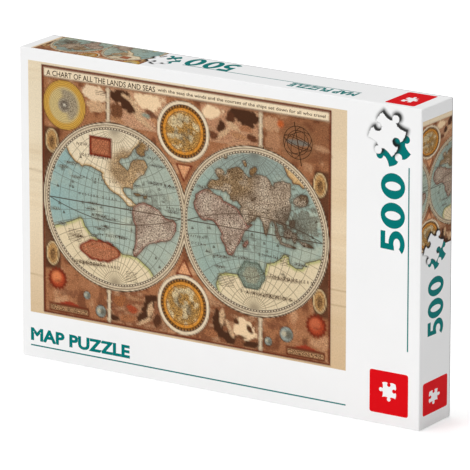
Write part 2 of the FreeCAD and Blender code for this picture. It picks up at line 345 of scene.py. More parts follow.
# Coastlines as an early engraver guessed them, in degrees of longitude and latitude.
COASTS: list[tuple[Land, list[tuple[float, float]]]] = [
    (Land.NORTH_AMERICA, [
        (-210, 43), (-204, 41), (-193, 39), (-186, 40), (-182, 39), (-177, 43), (-169, 45), (-159, 45), (-144, 44),
        (-147, 42), (-143, 37), (-138, 32), (-131, 26), (-123, 22), (-114, 19), (-106, 14), (-101, 9.5), (-98, 5.5),
        (-93, 4.5), (-84, 8), (-88, 11), (-92, 15), (-97, 17), (-100, 20), (-104, 25), (-105, 30), (-99, 31),
        (-92, 31), (-88, 28), (-86, 34), (-82, 38), (-75, 41), (-69, 43), (-63, 43), (-57, 46), (-52, 48), (-51, 52),
        (-51, 55), (-57, 57), (-64, 59), (-71, 60), (-80, 58), (-85, 54), (-91, 51), (-95, 54), (-100, 57),
        (-107, 60), (-108, 63), (-99, 66), (-90, 65), (-80, 65), (-70, 66), (-60, 68), (-51, 68), (-40, 67),
        (-28, 67), (-14, 69), (78, 81), (131, 56), (139, 43)]),
    (Land.ISLE, [
        (-28, 67), (-24, 65), (-28, 60), (-34, 58), (-40, 60), (-45, 57), (-52, 59), (-56, 64), (-50, 67), (-41, 66)]),
    (Land.SOUTH_AMERICA, [
        (-89, 5), (-86, 7), (-82, 9), (-79, 11), (-72, 12), (-64, 10), (-57, 7), (-52, 4.5), (-50, 1.5), (-46, -1.5),
        (-41, -2.5), (-37, -2), (-34, -5), (-34, -10), (-35, -14), (-37, -19), (-40, -22), (-46, -25), (-51, -29),
        (-58, -33), (-63, -39), (-66, -46), (-70, -54), (-75, -56), (-79, -52), (-79, -44), (-81, -36), (-83, -29),
        (-84, -20), (-88, -15), (-90, -7), (-90, -1)]),
    (Land.AFRICA, [
        (-18, 32), (-15, 33), (-9, 32), (-2, 32), (3, 33), (6, 30), (12, 30), (22, 29), (30, 28), (34, 24), (38, 19),
        (43, 14), (48, 8), (58, 11), (51, 5), (43, -2), (40, -8), (37, -15), (33, -21), (28, -25), (25, -30),
        (19, -35), (13, -34), (11, -29), (11, -24), (8, -19), (6, -14), (8, -9), (5, -4), (1, 1), (-3, 4), (-9, 4),
        (-13, 2.5), (-17, 3.5), (-21, 7.5), (-24, 11), (-26, 15), (-25, 19), (-26, 22), (-24, 25), (-22, 28)]),
    (Land.EURASIA, [
        (-19, 34), (-19, 39), (-18, 42), (-13, 44), (-10, 48), (-13, 48), (-19, 49), (-22, 51), (-21, 54), (-17, 56),
        (-11, 56), (-9, 53), (-6, 56), (-9, 60), (-6, 64), (-2, 68), (5, 71), (20, 71), (30, 69), (42, 68), (53, 70),
        (66, 73), (84, 72), (98, 69), (103, 65), (103, 59), (106, 58), (111, 61), (118, 60), (128, 58), (134, 54),
        (138, 52), (131, 48), (128, 43), (123, 41), (123, 37), (122, 33), (118, 27), (114, 22), (110, 18), (111, 11),
        (107, 9), (106, 15), (101, 15), (96, 18), (98, 6), (103, -3), (99, -2), (95, 8), (92, 19), (88, 19), (85, 15),
        (83, 7), (80, -3), (77, 0), (75, 10), (73, 17), (68, 23), (63, 22), (61, 17), (56, 15), (50, 10), (46, 10),
        (41, 15), (39, 20), (35, 25), (33, 28), (37, 31), (31, 35), (27, 37), (21, 35), (15, 36), (16, 39), (11, 40),
        (6, 42), (2, 39), (-2, 40), (-5, 38), (-11, 36), (-15, 34)]),
    (Land.FAR_AMERICA, [
        (152, 66), (145, 62), (141, 58), (142, 53), (140, 51), (146, 47), (147, 43), (151, 42), (160, 40), (166, 51),
        (166, 63)]),
    (Land.ISLE, [(42, 72), (41, 76), (53, 79), (69, 80), (73, 77), (63, 74), (55, 71), (47, 70)]),
    (Land.ISLE, [(-4, 77), (3, 80), (24, 77), (17, 75)]),
    (Land.ISLE, [(-26, 66), (-27, 63), (-33, 63), (-32, 66)]),
    (Land.ISLE, [(-88, 24), (-78, 23), (-74, 20), (-82, 20)]),
    (Land.ISLE, [(-72, 20), (-66, 20), (-68, 17), (-72, 17)]),
    (Land.SOUTH_AMERICA, [(40, -22), (43, -17), (48, -14), (50, -17), (45, -24), (41, -25)]),
    (Land.ISLAND, [(51, 46), (57, 48), (64, 47), (63, 44), (56, 42), (52, 43)]),
    (Land.ISLAND, [(130, 39), (135, 40), (142, 40), (147, 37), (146, 33), (141, 30), (133, 31), (129, 34), (127, 37)]),
    (Land.ISLAND, [(125, -1), (131, -2), (138, -3), (142, -5), (137, -6), (130, -5)]),
    (Land.ISLAND, [(93, 7), (98, 2), (104, -4), (102, -7), (96, -3)]),
    (Land.ISLAND, [(107, 6), (113, 11), (118, 7), (116, 0), (111, -2), (107, 0)]),
    (Land.ISLAND, [(101, -7), (113, -8), (123, -9), (122, -11), (112, -11), (102, -10)]),
    (Land.ISLAND, [(118, 5), (123, 7), (124, 0), (121, -6), (118, -1)]),
    (Land.ISLAND, [(116, 19), (122, 20), (122, 13), (117, 11), (115, 14)]),
    (Land.SOUTHERN, [
        (-211, -22), (-199, -22), (-188, -21), (-177, -18), (-174, -21), (-173, -28), (-167, -37), (-158, -44),
        (-137, -52), (-117, -55), (-100, -61), (-84, -58), (-68, -55), (-55, -55), (-42, -54), (-31, -54), (-3, -63),
        (78, -75), (132, -49), (138, -28)]),
    (Land.SOUTHERN, [
        (-25, -53), (-12, -49), (-1, -51), (18, -56), (54, -62), (83, -53), (84, -40), (96, -36), (105, -28),
        (109, -21), (115, -21), (119, -29), (128, -30), (135, -27), (137, -20), (145, -15), (149, -12), (166, -25),
        (-176, -51), (-122, -75), (-42, -63)]),
]


@dataclass(frozen=True)
class MapSheet:
    """An antique world map in two hemispheres, on a pale wooden ground. Places run right and down from its corner."""

    width: float = 267.5
    height: float = 187.0
    edge_left: float = 11.5          # the map's own border
    edge_right: float = 255.0
    edge_top: float = 1.6
    edge_bottom: float = 185.6
    middle: float = 132.95           # between the hemispheres
    spread: float = 58.95            # from there to each hemisphere's centre
    equator: float = 98.1
    disc: float = 56.5               # radius of the mapped disc
    medal_x: float = 132.3
    medal_middle: float = 97.6       # halfway between the upper and lower medallions
    medal_spread: float = 63.5
    medal: float = 21.8              # their radius
    west: float = -120.0             # middle longitude of each hemisphere
    east: float = 60.0

    def project(self, places: Array) -> Array:
        """Places the globe's points on the sheet, by the stereographic projection that fills a disc.

        With b the latitude and l the longitude from the hemisphere's middle, the place from the disc's centre is
        (cos b sin l, sin b) / (1 + cos b cos l) disc radii.

        Args:
            places: Longitude and latitude in degrees, of shape (n, 2), all in one hemisphere.

        Returns:
            Places on the sheet, of shape (n, 2).
        """
        left = places[0, 0] < -26 or places[0, 0] > 180
        l = np.radians(places[:, 0] - (self.west if left else self.east))
        b = np.radians(places[:, 1])
        depth = 1 + np.cos(b) * np.cos(l)
        x = self.middle + (-self.spread if left else self.spread) + self.disc * np.cos(b) * np.sin(l) / depth
        return np.stack([x, self.equator - self.disc * np.sin(b) / depth], 1)

    def graticule(self, x: Array, y: Array) -> tuple[Array, Array]:
        """Longitude and latitude in tens of degrees, and how far apart ten degrees are.

        It undoes the projection: with (p, q) the place in disc radii and s = p^2 + q^2, the latitude is
        asin(2q / (1 + s)) and the longitude atan2(2p, 1 - s). A degree is (1 + s) / 2 disc radii long there.

        Args:
            x: Places across.
            y: Places down.

        Returns:
            Two arrays of shape (n, 3), each for longitude and latitude, with a spare third value.
        """
        p = (np.abs(x - self.middle) - self.spread) * np.sign(x - self.middle) / self.disc
        q = (self.equator - y) / self.disc
        s = p * p + q * q
        latitude = np.arcsin(np.clip(2 * q / (1 + s), -1, 1))
        longitude = np.arctan2(2 * p, 1 - s)
        ten = math.radians(10) * self.disc * (1 + s) / 2
        none = np.zeros_like(x)
        turns = np.stack([np.degrees(longitude) / 10, np.degrees(latitude) / 10, none], 1)
        return turns, np.stack([ten * np.cos(latitude), ten, none], 1)


class Painting:
    """The map sheet's hand colouring and engraving, worked out for any set of places on it."""

    def __init__(self, sheet: MapSheet, x: Array, y: Array) -> None:
        """Starts with the wooden ground everywhere.

        Args:
            sheet: The map sheet.
            x: Places across.
            y: Places down.
        """
        self.sheet = sheet
        self.x = x
        self.y = y
        self.wash = np.zeros((len(x), 3))
        self.engraving = np.zeros(len(x))

    def lay(self, colour: str, cover: Array | float, engraving: float | None = None) -> None:
        """Lays a wash over what is there.

        Args:
            colour: The wash, as a hex colour.
            cover: How much of it each place takes, from 0 to 1.
            engraving: How closely the lines fill it, or None to leave them.
        """
        share = np.broadcast_to(np.clip(cover, 0, 1), self.x.shape)
        self.wash += share[:, None] * (np.array(linear(colour)) - self.wash)
        if engraving is not None:
            self.engraving += share * (engraving - self.engraving)

    def disc(self, cx: float, cy: float, rx: float, ry: float | None = None, soft: float = 1.0) -> Array:
        """How much of each place an ellipse covers, with a soft edge: radius from its centre against its own."""
        tall = ry or rx
        gap = (np.hypot((self.x - cx) / rx, (self.y - cy) / tall) - 1) * min(rx, tall)
        return blend(soft / 2, -soft / 2, gap)

    def target(self, cx: float, cy: float, rings: tuple[tuple, ...]) -> None:
        """Lays ellipses about one centre, each a colour, half length, half height or None, softness and lines."""
        for colour, rx, ry, soft, lines in rings:
            self.lay(colour, self.disc(cx, cy, rx, ry, soft), lines)

    def box(self, left: float, right: float, top: float, bottom: float, soft: float = 1.0) -> Array:
        """How much of each place an upright box covers, with a soft edge."""
        gap = np.maximum(
            np.abs(self.x - (left + right) / 2) - (right - left) / 2,
            np.abs(self.y - (top + bottom) / 2) - (bottom - top) / 2,
        )
        return blend(soft / 2, -soft / 2, gap)

    def ground(self) -> None:
        """Planks of pale wood: long level grain, a seam between planks, and darkening towards the foot."""
        x, y = self.x, self.y
        self.lay("#e6d6b9", 1.0, 0.0)
        self.lay("#cfb18b", 0.75 * blend(70, 195, y) + (0.20 + 0.32 * blend(110, 60, y)) * (x > 200))
        self.lay("#cbad84", 0.40 * grain(x / 14, y, 2.2, 11) * blend(0.4, 0.9, mottle(x / 5, y, 13, 5)))
        for seam, end in ((80.5, 30), (158.5, 30), (130.0, 300), (141.0, 300)):
            wave = np.abs(y - seam - 0.5 * np.sin(x / 9))
            self.lay("#93714c", 0.40 * blend(0.9, 0.2, wave) * (np.abs(x - end) < 60))

    def field(self) -> None:
        """The map's dark red border and the brown ground inside it."""
        s, x, y = self.sheet, self.x, self.y
        self.lay("#641f10", self.box(s.edge_left, s.edge_right, s.edge_top, s.edge_bottom), 0.45)
        inner = self.box(s.edge_left + 1.9, s.edge_right - 1.9, s.edge_top + 1.9, s.edge_bottom - 1.9)
        self.lay("#b0754f", inner, 0.42)
        tone = grain(x, y, 9.0, 21)
        self.lay("#7f4a30", 0.9 * inner * blend(0.45, 0.15, tone))
        self.lay("#cf9b72", inner * blend(0.58, 0.9, tone))
        self.lay("#5f3521", 0.40 * inner * blend(30, 75, np.abs(y - 98)) * blend(150, 250, x + 0.3 * y) * (y < 60))
        for left, right in ((13.4, 27.0), (241.0, 253.0)):
            self.lay("#4e2c1c", 0.85 * self.box(left, right, 46.5, 152.0, soft=2), 0.35)
        self.lay("#ecd8b8", self.box(s.edge_left + 2, s.edge_right - 2, 3.5, 9.9), 0.10)
        self.lay("#5d3a24", 0.7 * self.box(s.edge_left + 2, s.edge_right - 2, 9.8, 10.9))

    def blob(self, cx: float, cy: float, rx: float, ry: float, lean: float = 0.0, ragged: float = 0.35) -> Array:
        """How much of each place a soft, ragged shape covers: an ellipse whose edge is moved by fine grain.

        Args:
            cx: Its middle across.
            cy: Its middle down.
            rx: Its half length.
            ry: Its half breadth.
            lean: The length's slope, in degrees, downwards to the right.
            ragged: How far the edge strays, as a share of the radius.

        Returns:
            A share from 0 to 1 at each place.
        """
        a = math.radians(lean)
        u = (self.x - cx) * math.cos(a) + (self.y - cy) * math.sin(a)
        v = (self.y - cy) * math.cos(a) - (self.x - cx) * math.sin(a)
        edge = 1 + ragged * 2 * (grain(self.x, self.y, 3.4, int(cx * 7 + cy)) - 0.5)
        gap = (np.hypot(u / rx, v / ry) - edge) * min(rx, ry)
        return blend(0.5, -0.5, gap)

    def scenes(self) -> None:
        """Four small engraved landscapes beside the medallions, with the columns that part them.

        Each is a warm ground with dark woods, pale rocks and clouds laid over it as ragged patches.
        """
        wood, rock, cloud, water = "#4b2c1b", "#dfb68c", "#efcfa6", "#9aa08c"
        panels = (
            (69.5, 118.0, 11.1, 38.0, "#d29f7a", (
                (79, 16, 7, 5, 0, wood), (86, 22, 9, 4, 40, wood), (76, 27, 5, 6, 0, "#7b4d31"),
                (93, 23, 9, 2.6, 52, rock), (98, 31, 8, 2.4, 35, rock), (84, 16, 4, 1.6, 20, rock),
                (102, 17, 12, 5.6, 0, cloud), (106, 26, 6, 2.6, 30, "#7d5039"), (101, 27, 4, 1.6, 10, water),
                (110, 31, 5, 2, 40, "#c98d62"), (77, 34, 7, 2, 10, "#c08a60"))),
            (147.0, 196.5, 11.1, 38.0, "#c6906c", (
                (157, 16.5, 8, 4.6, 0, cloud), (187, 17, 8, 6, 0, wood), (178, 14, 7, 3.4, 0, wood),
                (164, 26, 6, 3.2, -50, wood), (172, 19, 3.4, 4.4, 0, "#5b3420"), (174, 24.5, 7, 2.2, 20, rock),
                (167, 30, 7, 1.8, -40, rock), (184, 25, 6, 2.2, 0, "#b87c55"), (190, 31, 5, 2.4, 15, "#6a3e28"),
                (158, 33, 4, 3, 0, "#74452d"), (180, 31, 6, 1.8, 10, "#c08a60"))),
            (69.5, 118.0, 158.0, 183.5, "#955e40", (
                (103, 164, 8, 5, -60, wood), (99, 175, 7, 4, -40, wood), (84, 178, 8, 2.6, 0, "#b0714a"),
                (104, 170, 2.2, 6, 15, rock), (98, 179, 6, 1.6, -30, rock), (78, 167, 6, 4, 0, "#a8683f"),
                (89, 171, 5, 2.4, 20, "#b5502f"), (73, 180, 4, 2, 0, wood), (110, 176, 4, 5, 0, "#5d3622"),
                (91, 163, 7, 1.6, 0, "#bd8a62"))),
            (147.0, 196.5, 153.0, 183.5, "#8f593b", (
                (184, 171, 10, 7, 10, cloud), (162, 168, 5, 8, 10, wood), (169, 178, 9, 4, 20, wood),
                (189, 181, 7, 2.4, 0, wood), (165, 165, 2.2, 6, 10, rock), (171, 172, 6, 1.8, 60, rock),
                (177, 166, 2.4, 1.6, 20, "#5a3622"), (188, 170, 3.4, 1.8, 45, "#5a3622"),
                (182, 177, 3, 1.4, 0, "#6b452e"), (155, 178, 5, 3, 0, "#b0714a"))),
        )
        for left, right, top, bottom, ground, patches in panels:
            panel = self.box(left, right, top, bottom)
            self.lay(ground, panel, 0.48)
            self.lay("#d0a078", 0.6 * panel * blend(0.45, 0.75, grain(self.x, self.y * 1.6, 5, int(left + top))))
            for cx, cy, rx, ry, lean, colour in patches:
                self.lay(colour, panel * self.blob(cx, cy, rx, ry, lean), 0.15 if colour == cloud else 0.5)
        for colour, share, shape, lines in (
            ("#efd2ad", 0.95, (57.5, 17, 10, 5.8, 8, 0.2), 0.18), ("#e0b68b", 0.85, (58.5, 26, 8.5, 4.2, 0, 0.3), 0.40),
            ("#cfa078", 0.75, (206, 18, 8, 5.4), 0.4), ("#c08c66", 0.70, (207, 31, 8, 7.4), 0.4),
            ("#7d4a30", 0.60, (242, 36, 12, 4.4), None), ("#cf9f78", 0.55, (243, 30, 10, 2.2, 10), None),
            ("#7a4630", 0.6, (33, 168, 9, 3, 0, 0.5), None), ("#b47a55", 0.6, (50, 160, 8, 3, 0, 0.5), None),
            ("#b98059", 0.6, (232, 166, 10, 3, 0, 0.5), None), ("#7a4630", 0.6, (208, 164, 8, 3, 0, 0.5), None),
            ("#7a4630", 0.6, (228, 180, 6, 3, 0, 0.5), None),
        ):
            self.lay(colour, share * self.blob(*shape), lines)
        for column in (68.5, 197.0):
            for top, bottom in ((11.1, 37.5), (159.5, 183.8)):
                self.lay("#4e3020", 0.8 * self.box(column - 2.1, column + 2.1, top, bottom))
                self.lay("#e2cdae", self.box(column - 1.1, column + 1.1, top, bottom, 0.8), 0.2)
                for knot in np.linspace(top + 2, bottom - 2, 4):
                    self.lay("#d9c19e", self.disc(column, float(knot), 2.0, 1.2))

    def medallions(self) -> None:
        """Two round charts of the sky: a pale rim, a beaded gold ring, and a gold ground with pale figures."""
        s = self.sheet
        for middle in (s.medal_middle - s.medal_spread, s.medal_middle + s.medal_spread):
            dx, dy = self.x - s.medal_x, self.y - middle
            radius = np.hypot(dx, dy)
            angle = np.arctan2(dy, dx)
            self.target(s.medal_x, middle, (
                ("#5a3a22", s.medal + 0.6, None, 1.0, 0.2), ("#e6d2b2", s.medal, None, 1.0, 0.12),
                ("#8b5a26", s.medal - 2.5, None, 1.0, 0.2), ("#e39535", s.medal - 4.6, None, 1.0, 0.40),
            ))
            gold = self.disc(s.medal_x, middle, s.medal - 7.6, soft=3.0)
            self.lay("#cf9d55", gold, 0.75)
            figures = grain(self.x, self.y, 4.2, 71 + int(middle))
            self.lay("#ecd3a2", gold * blend(0.48, 0.66, figures), 0.60)
            self.lay("#77705c", 0.75 * gold * blend(13, 5, radius) * blend(0.45, 0.7, grain(self.x, self.y, 3.6, 83)))
            self.lay("#8a5c2a", 0.35 * (radius < s.medal - 4.6) * blend(0.86, 0.99, np.cos(angle * 6)))
        cx, cy = SKY_DISC
        self.target(cx, cy, (
            ("#6b4426", 18.6, None, 1.0, 0.2), ("#d6a548", 17.8, None, 1.0, 0.15), ("#d9c083", 13.2, None, 2, 0.25),
        ))
        shadow = blend(-2, 3, (self.x - cx) * 0.9 - (self.y - cy) * 0.3)
        self.lay("#b3a58c", 0.85 * shadow * self.disc(cx, cy, 11.6, soft=3), 0.65)
        self.target(cx, cy, (
            ("#b3a58c", 5.5, None, 2, 0.65), ("#8a8070", 3.4, None, 2, 0.7), ("#e6dcc4", 1.2, None, 1.2, None),
        ))

    def oceans(self) -> None:
        """The two discs' pale rims and their sea: blue-green, patchy, and deeper towards the rim."""
        s, x, y = self.sheet, self.x, self.y
        radius = np.hypot(np.abs(x - s.middle) - s.spread, y - s.equator)
        self.lay("#3f2a1c", blend(s.disc + 5.9, s.disc + 5.2, radius), 0.1)
        self.lay("#e0ceb0", blend(s.disc + 5.2, s.disc + 4.7, radius), 0.10)
        lettered = blend(s.disc + 4.4, s.disc + 4.0, radius) * blend(s.disc + 1.6, s.disc + 2.0, radius)
        self.lay("#c9b291", 0.5 * lettered, 0.62)
        sea = blend(s.disc + 0.2, s.disc - 0.4, radius)
        self.lay("#a9b3a3", sea, 0.20)
        self.lay("#8fb2b0", 0.85 * sea * blend(110, 20, x) * (0.4 + 0.6 * grain(x, y, 17, 91)))
        self.lay("#93a99e", 0.80 * sea * blend(120, 150, x) * (0.35 + 0.65 * grain(x, y, 17, 92)))
        self.lay("#c3c4ac", 0.45 * sea * blend(0.55, 0.9, grain(x, y, 12, 97)))
        self.lay("#7a7462", 0.6 * sea * self.blob(235, 85, 12, 13, 0, 0.6), 0.75)

    def lands(self) -> Array:
        """Washes in the landmasses, a band of colour along each coast, and shading in the sea beside it.

        Returns:
            The distance to the nearest coast, less than 0 on land.
        """
        s = self.sheet
        points = np.stack([self.x, self.y], 1)
        disc = blend(s.disc + 0.2, s.disc - 0.4, np.hypot(np.abs(self.x - s.middle) - s.spread, self.y - s.equator))
        nearest = np.full(len(points), FAR)
        for land, coast in COASTS:
            loop = s.project(np.array(coast, float))
            west = loop[0, 0] < s.middle
            gap = signed_distance(points, loop_segments(loop))
            gap[(self.x < s.middle) != west] = FAR
            wash, edge, engraving = land.value
            self.lay(wash, disc * blend(0.45, -0.45, gap), engraving)
            band = 3.4 if land is Land.SOUTHERN else 2.0
            self.lay(edge, disc * 0.85 * blend(0.45, -0.45, gap) * blend(-band, -0.2, gap))
            nearest = np.minimum(nearest, gap)
        ashore = disc * (nearest < 0)
        patch = grain(self.x, self.y, 8.0, 101)
        northern = ashore * (self.y < 97)
        self.lay("#c9a372", 0.85 * northern * self.disc(86, 69, 17, 14, soft=8), 0.72)
        self.lay("#a9875c", 0.70 * northern * self.disc(94, 58, 14, 9, soft=6) * blend(0.35, 0.6, patch), 0.80)
        self.lay("#b08f64", 0.85 * northern * self.disc(169, 64, 22, 13, soft=9), 0.85)
        self.lay("#d9c3a8", 0.60 * ashore * self.disc(208, 68, 17, 14, soft=9) * (self.y < 97))
        self.lay("#8d7f6d", 0.75 * ashore * self.disc(221, 88, 13, 13, soft=8) * (self.y < 97), 0.90)
        self.lay("#e6d4ba", 0.45 * ashore * blend(0.52, 0.75, patch) * (self.engraving > 0.5))
        self.lay("#6b543e", 0.30 * ashore * blend(0.5, 0.3, patch) * (self.engraving > 0.5))
        self.lay("#56594c", 0.50 * disc * (nearest >= 0) * blend(2.4, 0.2, nearest))
        east_indies = self.disc(219, 91, 15, 11, soft=10)
        self.lay("#5a5244", 0.55 * east_indies * disc * blend(0.35, 0.6, grain(self.x, self.y, 3.0, 107)), 0.75)
        indies = self.disc(107, 86, 13, 5, soft=5) + self.disc(187, 107, 9, 7, soft=6)
        speckle = blend(0.35, 0.6, grain(self.x, self.y, 2.6, 108))
        self.lay("#66665a", 0.5 * indies * disc * (nearest >= 0) * speckle, 0.6)
        self.lay("#8f9b93", 0.55 * disc * (nearest >= 0) * blend(34, 48, s.equator - self.y), 0.45)
        return nearest

    def voyages(self) -> None:
        """Ships and sea beasts as small dark marks and pale patches, scattered at random over the open sea."""
        s = self.sheet
        place = random.Random(17)
        for _ in range(110):
            turn, far = place.uniform(0, 2 * math.pi), 52 * math.sqrt(place.random())
            x = s.middle + place.choice((-1, 1)) * s.spread + far * math.cos(turn)
            y = s.equator + far * math.sin(turn)
            open_sea = (self.engraving < 0.22) & (self.y < s.equator + 36)
            if place.random() < 0.45:
                self.lay("#4a4337", 0.85 * self.disc(x, y, place.uniform(0.9, 1.8), 0.7, soft=0.9) * open_sea)
                self.lay("#57503f", 0.70 * self.disc(x + 0.3, y - 1.1, 0.55, 1.0, soft=0.9) * open_sea)
            else:
                self.lay("#98a396", 0.95 * self.disc(x, y, place.uniform(3.0, 7.0), 1.0) * open_sea, 1.1)
        for x, y, half in ((50.0, 143.0, 17.0), (216.0, 129.0, 15.0), (206.0, 143.0, 22.0), (42.0, 124.0, 6.0)):
            self.lay("#d3bf9c", 0.95 * self.disc(x, y, half, 1.3) * (self.engraving < 0.3), 1.0)

    def cartouches(self) -> None:
        """The framed tablets on the map: a red oblong, a red oval, a grey-green shell, and two spandrels."""
        self.lay("#7a2c1b", self.box(52.4, 71.6, 48.0, 62.8), 0.2)
        self.lay("#c47752", self.box(54.6, 69.4, 50.2, 60.6), 0.55)
        x, y = self.x - 61.0, self.y - 132.1
        wave = 1 + 0.05 * np.cos(8 * np.arctan2(y, x))
        for colour, rx, ry, lines in (("#7f2f1e", 17.2, 8.2, 0.2), ("#c9805b", 15.0, 6.2, 0.6)):
            self.lay(colour, blend(0.5, -0.5, (np.hypot(x / rx, y / ry) - wave) * ry), lines)
        self.lay("#d0774f", 0.6 * self.box(48.5, 73.5, 128.8, 130.4))
        x, y = self.x - 189.5, self.y - 130.1
        wave = 1 + 0.06 * np.cos(6 * np.arctan2(y, x))
        for colour, rx, lines in (("#4d5a4d", 11.4, 0.2), ("#8d9c8b", 10.0, 0.55), ("#a9ab92", 6.6, 0.6)):
            self.lay(colour, blend(0.5, -0.5, (np.hypot(x, y * 1.08) / rx - wave) * rx), lines)
        for top, bottom, turned in ((57.5, 71.5, 1), (126.6, 139.0, -1)):
            share = (self.y - top) / (bottom - top)
            half = 7.4 * (1 - share if turned > 0 else share)
            inside_it = (share > 0) * (share < 1) * blend(0.6, -0.4, np.abs(self.x - self.sheet.middle) - half)
            self.lay("#6e2a18", inside_it, 0.2)
            inner = (share > 0.08) * (share < 0.9) * blend(0.6, -0.4, np.abs(self.x - self.sheet.middle) - half + 1.6)
            self.lay("#eaa878", inner, 0.42)

    def roundels(self) -> None:
        """The small round ornaments: framed ovals at the sides, flaming suns, globes, and a ringed sphere."""
        for cx in (20.0, 245.8):
            for cy in (56.4, 140.1):
                self.target(cx, cy, (
                    ("#3f2517", 6.2, 9.4, 1.0, None), ("#e3c492", 5.4, 8.6, 1.0, 0.1),
                    ("#5e3b22", 4.5, 7.6, 1.0, 0.2), ("#d3a265", 3.9, 7.0, 1.0, 0.55),
                ))
                self.lay("#8d6740", self.disc(cx, cy + 0.8, 2.4, 4.6, soft=1.6), 0.7)
        for cx, cy, radius, glow in ((24.2, 158.6, 7.0, "#e58c58"), (243.2, 158.6, 7.4, "#c76b47")):
            dx, dy = self.x - cx, self.y - cy
            ray = radius + 1.5 * np.abs(np.sin(8 * np.arctan2(dy, dx)))
            gap = np.hypot(dx, dy) - ray
            self.lay("#7a2c18", blend(1.2, -0.8, gap), 0.3)
            self.lay("#bf4a29", self.disc(cx, cy, radius - 1.4, soft=2.0), 0.5)
            self.lay(glow, 0.8 * self.disc(cx - 1.0, cy - 1.2, radius * 0.6, soft=3.0), 0.15)
            self.lay("#7d2f1a", 0.6 * self.disc(cx + 0.3, cy + 1.6, radius * 0.45, 0.8, soft=1.4), 0.4)
        for cx, cy, radius in ((61.5, 177.1, 4.2), (218.5, 168.6, 5.2), (49.5, 167.1, 2.6), (203.5, 176.1, 2.8)):
            self.lay("#3d2a1c", self.disc(cx, cy, radius + 0.7), 0.2)
            self.lay("#9aa298", self.disc(cx, cy, radius), 0.35)
            self.lay("#5f5a4a", 0.8 * self.disc(cx + 0.35 * radius, cy + 0.2, radius * 0.6, soft=2))
            self.lay("#d6c8a8", 0.7 * self.disc(cx - 0.4 * radius, cy - 0.3, radius * 0.4, soft=1.4))
        for left, right in ((16.4, 51.4), (218.0, 250.6)):
            peak = (left + right) / 2
            roof = 173.6 + 3.6 * np.abs(self.x - peak) / 12
            gable = blend(0.4, -0.4, roof - self.y) * self.box(peak - 12, peak + 12, 173, 177.4)
            self.lay("#9a3a24", gable, 0.2)
            self.lay("#5f2816", self.box(left, right, 176.9, 183.4), 0.1)
            self.lay("#c99a6e", self.box(left + 1.4, right - 1.4, 178.5, 182.0), 0.95)
        cx, cy = 227.5, 28.6
        self.lay("#8f6040", 0.8 * self.disc(cx, cy, 14.5, soft=4), 0.3)
        self.lay("#6f7a74", 0.7 * self.disc(cx, cy, 9.5, 2.2, soft=1.2))
        self.lay("#c8622f", self.disc(213.2, 17.2, 2.6, soft=2.4))

    def age(self) -> None:
        """Old paper's slow changes of tone, and a faint crease down the sheet's middle."""
        tone = grain(self.x, self.y, 45, 113)
        self.wash *= (0.95 + 0.10 * tone)[:, None]
        self.lay("#8d6a48", 0.18 * blend(0.9, 0.1, np.abs(self.x - self.sheet.middle)))

    def values(self) -> dict[str, Array]:
        """Paints everything.

        Returns:
            The attributes that the picture's ink reads, by name.
        """
        s = self.sheet
        self.ground()
        self.field()
        self.scenes()
        self.roundels()
        self.oceans()
        coast = self.lands()
        self.voyages()
        self.cartouches()
        self.medallions()
        self.age()
        turns, spacing = s.graticule(self.x, self.y)
        turns[:, 2] = 2.35 * np.cos(np.radians(10 * turns[:, 0])) * np.sign(s.middle - self.x)
        rim = np.hypot(np.abs(self.x - s.middle) - s.spread, self.y - s.equator)
        medal = np.hypot(self.x - s.medal_x, np.abs(self.y - s.medal_middle) - s.medal_spread)
        return {
            "wash": self.wash,
            "engraving": self.engraving,
            "coast": coast,
            "turns": turns,
            "spacing": spacing,
            "rims": np.stack([rim, medal, np.zeros_like(rim)], 1),
            "place": np.stack([self.x, self.y, np.zeros_like(rim)], 1),
        }


# ---------------------------------------------------------------- finishes


def add_node(tree: bpy.types.NodeTree, kind: str, inputs: dict | None = None, **settings: object) -> bpy.types.Node:
    """Adds one node with its settings and links.

    Args:
        tree: The material's node tree.
        kind: The node's type name.
        inputs: For an input's name or number, a value or another node's output.
        **settings: The node's own properties.

    Returns:
        The node.
    """
    node = tree.nodes.new(kind)
    for name, value in settings.items():
        setattr(node, name, value)
    for key, value in (inputs or {}).items():
        if isinstance(value, Socket):
            tree.links.new(value, node.inputs[key])
        else:
            node.inputs[key].default_value = value
    return node


